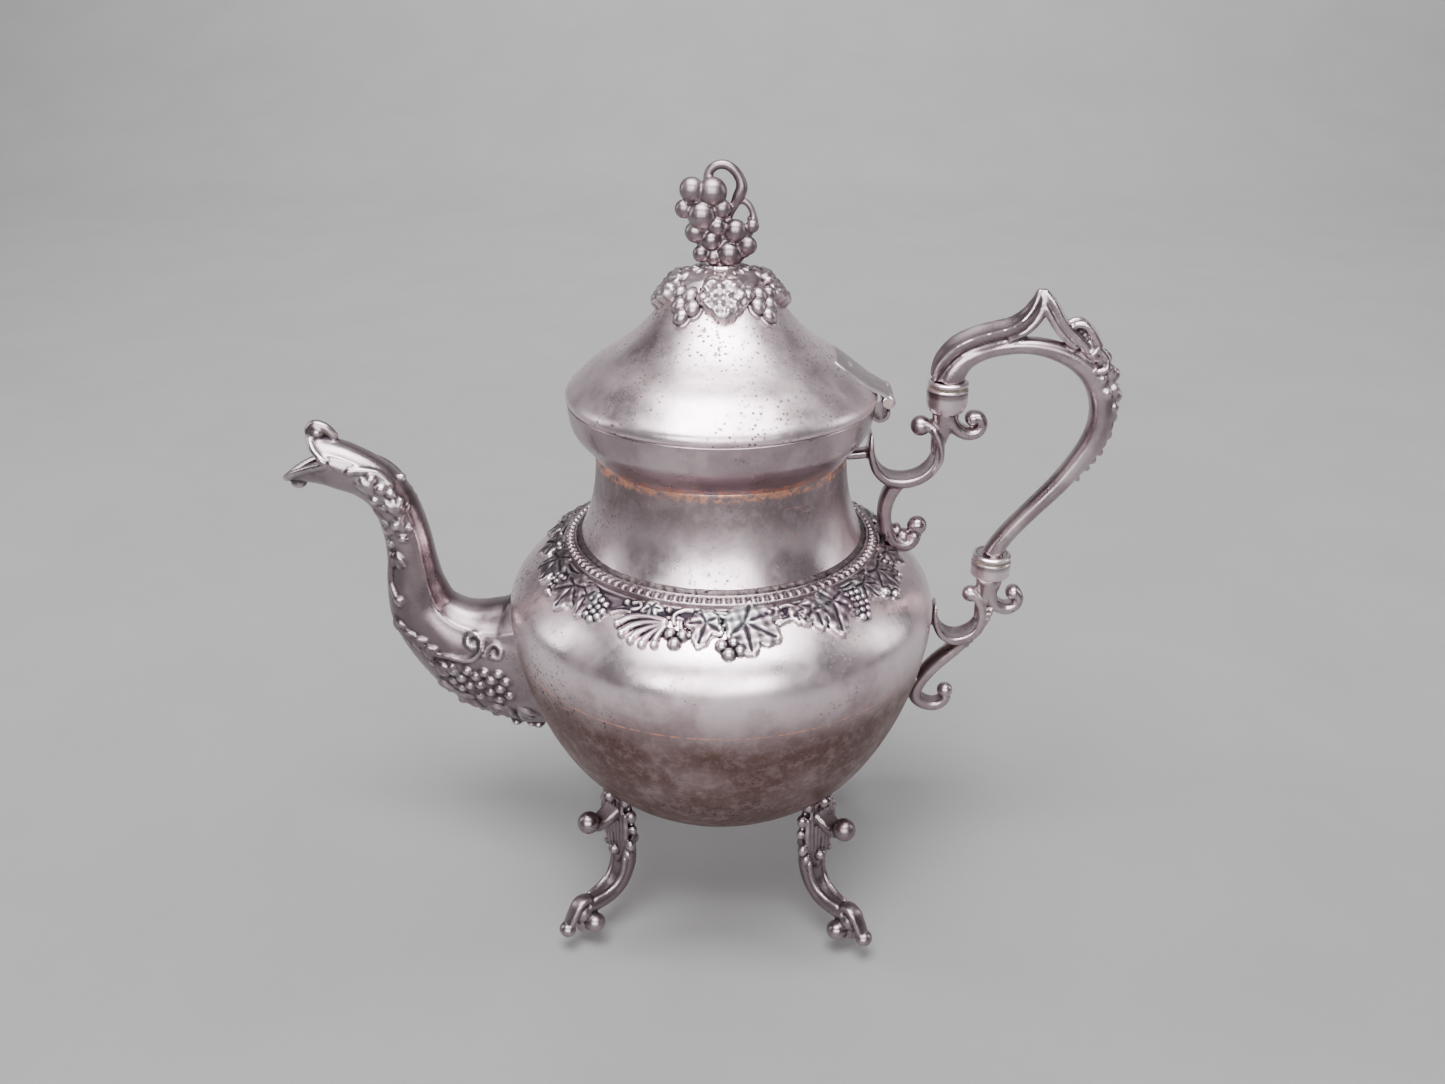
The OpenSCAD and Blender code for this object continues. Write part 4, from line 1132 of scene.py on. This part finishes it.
def add_sockets():
    """Cups and end caps that hold the handle."""
    for name, x, top, straight, taper in (("upper", 75.3, 194.1, 5, 3.3), ("lower", 96, 131, 5.6, 0.8)):
        low, base = top - straight - taper, top + 0.8
        cup = [
            (0, low), (4.8, low), (5.5, low + 0.25), (6.5, low + 0.6 * taper), (6.9, top - straight + 0.2),
            (6.9, top - 0.9), (7.0, top - 0.7), (7.0, top - 0.35), (6.75, top), (3.05, top),
            (3.05, top - 5.05), (0, top - 5.05)]
        cap = [
            (0, top - 5), (2.8, top - 5), (3, top - 4.8), (3, base), (6.3, base), (6.7, base + 0.25),
            (6.75, base + 0.6), (6.75, base + 1.1), (6.4, base + 1.5), (5.9, base + 1.7), (5.3, base + 1.5),
            (4.9, base + 1.5), (0, base + 1.5)]
        for shape, seed_number, piece, node in (
            (cup, 11, "_socket_cup", "_socket"), (cap, 13, "_cap", "_collar"),
        ):
            points, faces = turned(shape, 96, 0.05, seed_number)
            make(name + piece, (points + [x, 0, 0], faces), CAST, nodes=[name + node], sharp=35)


def add_brackets():
    """The scrolled brackets, each with its socket's riser and its tail down the body."""
    parts = [
        strap([
            (50.9, 178.4, 0.6, 3.6), (51, 174.6, 1.2, 4.6), (51.4, 170.6, 1.6, 5), (53.4, 165.3, 1.9, 5.2),
            (57.3, 161.9, 2.1, 5.4), (62.6, 161.1, 2.2, 5.4), (67.8, 162.5, 2.2, 5.2), (71.8, 166, 2.2, 5),
            (73.6, 171, 2.2, 4.6), (73.2, 176.4, 2.1, 4), (70.8, 180, 2.1, 3.6), (67.6, 181.4, 2.2, 3.2)],
            hollow=0.62),
        ball(67.3, 0, 180.6, 3.5, (1, 1.1, 1)),
        strap([(51.4, 171, 1.6, 3), (47, 170.4, 1.6, 3), (42.9, 170, 1.6, 3)]),
        stem([(73.4, 0, 172, 2.2), (74, 0, 177, 3), (74.8, 0, 181.4, 3.8), (75.3, 0, 185, 4.6)], 8, 20),
        strap([
            (76, 186, 3, 4.2), (77.2, 183, 2.9, 4.2), (79.4, 180.2, 2.6, 4), (83, 178.4, 2.4, 3.8),
            (86.2, 179, 2.2, 3.6), (87.6, 181.6, 2, 3.4), (86.4, 184, 1.9, 3.2), (84.2, 184.2, 1.8, 3)],
            squareness=0.85, hollow=0.2),
        ball(84.4, 0, 183.6, 2.7, (1, 1.3, 1)),
        strap([
            (61.4, 160.6, 3.2, 4.8), (58.8, 156, 3.1, 4.6), (57.6, 151, 3, 4.4), (57.8, 145.6, 3, 4.4),
            (59.4, 140.6, 3, 4.5), (61.4, 137.8, 2.9, 4.5), (64.6, 136.8, 2.8, 4.3), (67.2, 138, 2.6, 3.8),
            (68.4, 141, 2.4, 3.2)], squareness=0.85, hollow=0.45),
        ball(68.8, 0, 143.6, 3.5), ball(64.2, 0, 139.8, 2.4, (1, 1.5, 1)),
        ball(61.8, 0, 142.2, 1.6, (1, 2, 1.3)),
    ]
    for side in (-1, 1):
        parts.append(stem([
            (71.6, side * 3.6, 180, 1), (74, side * 4.2, 175, 1), (74.6, side * 4.4, 170, 0.9),
            (72.4, side * 4.6, 165.4, 0.8)]))
    make("upper_bracket_cast", joined(parts), CAST, nodes=["upper_bracket"], voxel=0.36, relax=2,
         keep_out=in_skin)
    parts = [
        strap([
            (77.7, 113.4, 0.7, 3.4), (77.6, 109.6, 1.2, 4.4), (78.5, 105.4, 1.6, 4.8), (80.9, 101.4, 1.9, 5),
            (84.8, 99.4, 2.1, 5), (89.2, 100.2, 2.2, 4.8), (92.8, 103, 2.2, 4.6), (94.4, 107.4, 2.2, 4.2),
            (94, 112, 2.1, 3.8), (92.4, 115.4, 2.1, 3.4), (90, 117.4, 2, 3)], hollow=0.62),
        ball(90, 0, 117, 3.1), strap([(78.4, 106.5, 1.8, 3), (75.4, 106.5, 1.8, 3)]),
        stem([(94.2, 0, 108, 2.3), (94.8, 0, 113.6, 3), (95.6, 0, 118.4, 3.9), (96, 0, 122.4, 4.6)], 8, 20),
        strap([
            (96.6, 121, 2.8, 4.1), (97.4, 116, 2.7, 4), (99.6, 113, 2.5, 3.8), (103, 111.8, 2.4, 3.6),
            (106, 113.2, 2.2, 3.4), (107, 116, 2, 3.2), (105.8, 118.2, 2, 3)], squareness=0.85, hollow=0.2),
        ball(105, 0, 118, 2.8, (1, 1.2, 1)),
        strap([
            (90.5, 99.8, 2.4, 4.4), (86.2, 94.4, 2.6, 4.2), (80.4, 88.4, 2.9, 4), (75.8, 82.2, 3, 3.8),
            (73.4, 77, 3, 3.8), (73.8, 73, 2.9, 3.6), (76.8, 70.6, 2.8, 3.5), (80.4, 69.9, 2.6, 3.4),
            (83.4, 71.4, 2.4, 3.2), (84.6, 74, 2.3, 3)], squareness=0.85, hollow=0.35),
        ball(84.2, 0, 75.8, 3), strap([(72.8, 81, 2.4, 3), (68, 80, 2.4, 3)]),
    ]
    for t in np.arange(9) / 8:
        for y in (-3, 3):
            # small berries down the outside of the scroll
            parts.append(ball(97.3 - 7.4 * t**1.5, y, 112 - 14.6 * t, 1.2, sides=12))
    make("lower_bracket_cast", joined(parts), CAST, nodes=["lower_bracket"], voxel=0.36, relax=2,
         keep_out=in_skin)


# ---------- feet ----------

def foot_solid():
    """Foot in its own plane: x is the distance from the bowl's axis."""
    pad, pad_faces = turned([(0, 0), (2.9, 0), (3.2, 0.25), (3.3, 4), (3, 7), (0, 7)], 40)
    parts = [
        strap([
            (50.6, 51, 1.6, 5.4), (50.2, 46, 2, 7), (50, 40, 2.2, 7.4), (49.6, 34, 2.4, 6.8),
            (49.1, 27.6, 2.7, 6), (49.4, 21, 3, 5.4), (51.6, 14.8, 3, 4.9), (56, 10.6, 2.9, 4.6),
            (62, 9.2, 2.8, 4.2), (68, 9.2, 3, 3.6)],
            squareness=0.8),
        strap([
            (51, 47.4, 2.4, 4.2), (56.4, 44.2, 2.3, 3.8), (60.6, 43.4, 2.2, 3.4), (63.4, 44.8, 2.2, 3)],
            hollow=0.15),
        ball(64.2, 0, 45.6, 4.1),
        # toe: a flat band that curls over the pad and ends in a ball
        strap([
            (65.4, 9, 1.5, 2.4), (67.6, 12.2, 1.5, 2.7), (71, 11.8, 1.5, 2.8), (73.6, 8.4, 1.5, 2.7),
            (75.4, 5, 1.7, 2.5), (76.4, 3.4, 1.8, 2.4)], squareness=0.7),
        ball(76.3, 0, 3.4, 3, (1, 1.1, 0.95)), ball(69.4, 0, 7.6, 3.8, (1, 1.1, 1)),
        ball(54.6, 0, 52.8, 2.7), ball(53.6, 0, 28, 2.4), ball(45, 0, 28, 2.4), ball(46.2, 0, 17.8, 2),
        (pad + [69, 0, 0], pad_faces),
    ]
    for side in (-1, 1):
        parts.append(ball(67.2, side * 4.7, 4.1, 3.7, (1, 1, 0.95)))
        # curled lobes at the leaf's sides
        for x, y, z, r in (
            (51.6, 5.2, 51, 2.2), (51, 7.6, 45.4, 2.3), (52.4, 8.4, 33.6, 2.1), (52, 6, 27.6, 1.9),
            (50.6, 7.8, 39.4, 1.8),
        ):
            parts.append(ball(x, side * y, z, r, (0.9, 0.9, 1.1), 14))
        for offset, top, low in ((0.9, 51, 22), (2.6, 51, 23.6), (4.3, 49.5, 25.5), (5.9, 46, 29)):
            # flutes of the leaf
            y, upper, lower = side * offset, 0.6 * top + 0.4 * low, 0.25 * top + 0.75 * low
            parts.append(stem([
                (52.8, y * 1.1, top, 0.8), (53.1, y * 1.18, upper, 0.95), (52.8, y, lower, 0.9),
                (52.3, y * 0.62, low, 0.7)], 5, 12))
        # ridges down the leg
        parts.append(stem([
            (51.6, side * 3.6, 24, 1.1), (52.4, side * 3.3, 18.6, 1.1), (55.4, side * 3, 14, 1.1),
            (60, side * 2.7, 12, 1), (64.6, side * 2.2, 11.6, 0.9)], 6, 12))
    return joined(parts)


def in_skin_and_off_table(co):
    co = in_skin(co)
    co[:, 2] = np.maximum(co[:, 2], 0)
    return co


def add_feet():
    shape, faces = foot_solid()
    shape[:, 2] = np.maximum(shape[:, 2], 0)
    for k, corner in enumerate(("rear_right", "rear_left", "front_left", "front_right")):
        points = turn_z(shape, math.radians(45 + 90 * k))
        make(f"foot_{corner}_cast", (points, faces), FEET, nodes=[f"foot_{corner}"], voxel=0.38, relax=2,
             keep_out=in_skin_and_off_table)


# ---------- lid ornaments ----------

# Berries of one bunch on the rosette: sideways, downwards from the leaves' tops, radius
CLUSTER = [
    (-0.4, 8.6, 2.5), (-2.7, 5, 2.5), (2.3, 5.4, 2.4), (-0.1, 1.6, 2.4), (4.6, 2, 2.1), (-4.4, 1.2, 2.1)]


COLLAR_OUTLINE = [
    (1.7, 230.2), (5, 230.2), (5.5, 231), (5.2, 231.8), (4.8, 232.3), (5.2, 232.8), (5.5, 233.4), (5.2, 234),
    (4.4, 234.2), (3.6, 233.8), (1.7, 233.6)]


def add_rosette():
    """Leaves and bunches round the top of the lid, and the wavy collar on them."""
    leaf_s, bunch_s = 12.4, 12
    line = [p for p in LID_LINE[::-1] if 4 < p[0] < 26]
    field = Relief(line, 600, 0.26, -0.5)
    s = field.s[:, None]
    a = np.radians(field.azimuth)[None, :]
    edge = 11 + 1.2 * np.sin(8 * a + 0.8)
    ripples = 0.25 * np.sin(8 * a + 2 * np.sin(0.7 * s)) * smoothstep(1, 3, s)
    field.h = np.maximum(field.h, np.where(s < edge, 1.2 + ripples, -1))
    for azimuth in (-84, 6, 96, -176):
        field.add(azimuth, leaf_s, leaf, 13, 0, 9, 3.4, HEART_LEAF, 58, 0.05, 0.14)
        for x in (-1, 1):
            field.add(azimuth + 16 * x, 7.4, seed, 5, 50 * x, 2.2, 2.4, 1.4)
    for azimuth in (-122, -42, 56, 144):
        for x, y, r in CLUSTER:
            place = azimuth + math.degrees(x / field.spot(bunch_s + y))
            # each berry stands on a wider bed
            field.add(place, bunch_s + y, seed, 5, 4 * x, r, 3.3, 1.2)
            field.add(place, bunch_s + y, seed, 6, 4 * x, 1.35 * r, 1.5, 1.2)
    for k in range(18):
        # short ribs of the crown round the collar
        field.add(20 * k, 3.4, seed, 3, 0, 0.8, 1.9, 2.2)
    make("finial_leaves", field.solid(), LEAVES, "lid", nodes=["finial_rosette"],
         rounds=6)
    collar, faces = turned(COLLAR_OUTLINE, 240)
    ring = np.arctan2(collar[:, 1], collar[:, 0])
    outside = np.hypot(collar[:, 0], collar[:, 1]) > 4
    wave = 1 + (0.03 * np.sin(9 * ring) + 0.02 * np.sin(16 * ring + 1)) * outside
    collar = collar * np.stack([wave, wave, np.ones(len(wave))], axis=1)
    make("finial_collar", (collar, faces), CAST, "lid", rounds=4)


# Berries of the finial, as (x, z, radius)
GRAPES = [
    (-9, 257.1, 3.3), (-2.6, 256.4, 3.9), (-11.5, 251.2, 2.5), (-5.9, 249.4, 3.9), (0.4, 251.3, 2.5),
    (-8, 244.2, 2.9), (-1.1, 246.1, 2.5), (-3, 241.6, 2.7), (-6.3, 237.4, 2.3), (4.6, 244.7, 3.1),
    (9.9, 246.2, 1.8), (2.7, 237.5, 3.5), (8.5, 240.2, 2.5), (-2.3, 236.3, 2.1), (7.3, 238.7, 2.1)]


# Stems of the finial, as points (x, y, z, radius): the big loop, the small one and its end, the lowest twig
FINIAL_STEMS = [
    [(-3.9, 0, 259.6, 1.7), (-3.6, 0, 262.2, 1.5), (-1.6, 0, 264, 1.45), (1.2, 0, 264.3, 1.45),
     (3.8, 0, 262.9, 1.5), (5.8, 0, 260.2, 1.6), (6.4, 0, 257.4, 1.9), (5.4, 0, 254.8, 1.9),
     (4.2, 0, 252.4, 1.5), (2.8, 0, 250, 1.4), (1.9, 0, 247.2, 1.4), (0.9, -0.6, 243.6, 1.4),
     (0, -0.6, 240, 1.6), (0, 0, 234.6, 2.6)],
    [(2.8, 0, 249.6, 1.2), (4.2, 0, 252.6, 1.1), (6.6, 0, 253.6, 1.05), (8.8, 0, 252.2, 1.05),
     (10, 0, 249.6, 1.1), (10.2, 0, 247.4, 1.5)],
    [(9, 0, 248.2, 0.9), (9.6, -0.4, 245.2, 1.1), (8.4, -0.6, 242.6, 1)],
    [(7.4, 0, 238.4, 1.4), (5.6, 0, 235.8, 1.4), (3, 0, 234.8, 1.4)]]


def add_finial():
    """Bunch of grapes on a looped stem."""
    parts = []
    for k, (x, z, r) in enumerate(GRAPES):
        front, back = -2 + 0.35 * (k % 3), 2.4 - 0.3 * (k % 3)
        parts.append(ball(x, front, z, 1.19 * r, (1, 0.88, 1.0), 24))
        parts.append(ball(x + 0.7 * (k % 2) - 0.4, back, z - 0.6, 1.02 * r, (1, 0.95, 1.03), 24))
    # the web between the berries, which closes the gaps
    parts.append(strap([
        (-6, 256, 1.6, 1.8), (-5.8, 251, 4.4, 2.4), (-4.8, 245, 4.6, 2.6), (-2.4, 239.6, 4.2, 2.6),
        (0, 235.2, 3.2, 2.6)]))
    parts.append(strap([(6.6, 246.4, 2.4, 2), (6, 242, 3.4, 2.4), (3, 236.6, 3.4, 2.6)]))
    parts.append(strap([(2, 252, 1.2, 1.1), (1.4, 248, 1.8, 1.4), (0.8, 243, 2.2, 1.8), (0.4, 238, 2.2, 2)]))
    parts += [stem(line, 7, 14) for line in FINIAL_STEMS]
    make("finial_grapes", joined(parts), GRAPE, "lid", nodes=["finial"],
         voxel=0.27, relax=1, rounds=10)


# ---------- hinge ----------

def add_lid_leaf():
    """Plate on the lid that narrows to the hinge and rolls over its pin."""
    pin_x, pin_z, band_r = 55.2, 191.3, 51.8
    line = curve([
        (37.5, 205.2), (42, 201.9), (46.4, 198.6), (49.4, 196.4), (52.2, 194.9), (54.2, 193.4),
        (55.4, 193.0)], 8)
    half = np.interp(line[:, 0], [37.5, 41, 47, 52, 55.4], [10.2, 11.6, 11.2, 9.4, 8.9])
    k = np.linspace(-1, 1, 15)
    top, low = 0.55 * (1 - 0.5 * k**8), -0.5 * np.ones_like(k)
    up = np.concatenate([low, top[::-1]])
    rings = []
    for (x, z), (dx, dz), w in zip(line, directions(line), half):
        # the plate follows the lid's round edge
        bow = -(band_r - np.sqrt(np.maximum(band_r**2 - (w * k)**2, 0))) * 0.6 * (x < 53)
        side = np.concatenate([w * k, w * k[::-1]])
        sink = np.concatenate([bow, bow[::-1]])
        rings.append(np.stack([x - dz * up + sink * 0.8, side, z + dx * up + sink * 0.1], axis=1))
    knuckles = [tube_piece(pin_x, pin_z, 1.05, 2.2, low, high) for low, high in ((-8.9, -4.05), (4.05, 8.9))]
    make("hinge_leaf_lid", joined([loft(rings)] + knuckles), CAST, "lid", nodes=["hinge_lid_leaf"], rounds=4)


def tube_piece(x, z, inner, outer, low, high, sides=40):
    """Knuckle: a pipe along y with rounded ends."""
    bevel = 0.2
    points, faces = turned([
        (inner, low), (outer - bevel, low), (outer, low + bevel), (outer, high - bevel),
        (outer - bevel, high), (inner, high)], sides)
    return np.stack([x + points[:, 0], points[:, 2], z + points[:, 1]], axis=1), faces


# ---------- build ----------

def dress_cad_nodes():
    """Node materials for the CAD pieces that stay as they are."""
    looks = {"lid_flange": BAND, "hinge_body_leaf": CAST, "upper_insulator": FIBRE, "lower_insulator": FIBRE}
    for name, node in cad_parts.items():
        if name in looks or name.endswith(("pin", "stud", "washer", "nut")):
            node.data.materials.clear()
            node.data.materials.append(looks.get(name, BRASS))


def add_stage():
    """Pale table that curves up into a pale wall behind the pot."""
    line = curve([(-4, 0), (0.8, 0), (1.7, 0.12), (2.1, 0.6), (2.2, 1.6), (2.2, 3)], 8)
    x = np.linspace(-4, 4, 9)
    points = [(px, y, z) for y, z in line for px in x]
    mesh = bpy.data.meshes.new("table")
    mesh.from_pydata(points, [], grid_quads(len(line), len(x)).tolist())
    mesh.polygons.foreach_set("use_smooth", [True] * len(mesh.polygons))
    mesh.materials.append(table_paint("table_paint"))
    table = bpy.data.objects.new("table", mesh)
    bpy.context.scene.collection.objects.link(table)


def add_light(name, place, target, size, radiance, only_on_metal=False):
    """Soft box. radiance is its brightness in W per square metre and steradian."""
    data = bpy.data.lights.new(name, "AREA")
    data.shape = "RECTANGLE"
    data.size, data.size_y = size
    data.energy = radiance * math.pi * size[0] * size[1]
    light = bpy.data.objects.new(name, data)
    bpy.context.scene.collection.objects.link(light)
    light.location = place
    light.rotation_euler = (Vector(target) - Vector(place)).to_track_quat("-Z", "Y").to_euler()
    light.visible_diffuse = not only_on_metal


def add_lights():
    """Soft boxes overhead, in front and at each side, two of them seen by the metal only, and one that
    lights the backdrop."""
    add_light("overhead", (-0.05, -0.42, 1.15), (0, 0, 0.14), (0.6, 0.5), 8)
    add_light("overhead_sheen", (0.0, -0.26, 1.14), (0, 0, 0.14), (1.0, 0.62), 13, True)
    add_light("front_sheen", (-0.05, -1.2, 0.66), (0, 0, 0.14), (1.3, 0.6), 10, True)
    add_light("left", (-0.95, 0.05, 0.5), (0, 0, 0.13), (0.25, 0.6), 4)
    add_light("right", (1.0, 0.1, 0.5), (0, 0, 0.13), (0.25, 0.6), 4)
    add_light("backdrop", (0, 0.7, 1.6), (0, 2.2, 0.7), (2.6, 0.6), 5)
    world = bpy.data.worlds.new("studio")
    world.use_nodes = True
    world.node_tree.nodes["Background"].inputs["Color"].default_value = (0.5, 0.5, 0.53, 1)
    world.node_tree.nodes["Background"].inputs["Strength"].default_value = 0.24
    bpy.context.scene.world = world


add_shells()
add_border()
add_spout()
add_handle()
add_sockets()
add_brackets()
add_feet()
add_rosette()
add_finial()
add_lid_leaf()
dress_cad_nodes()
add_stage()
add_lights()
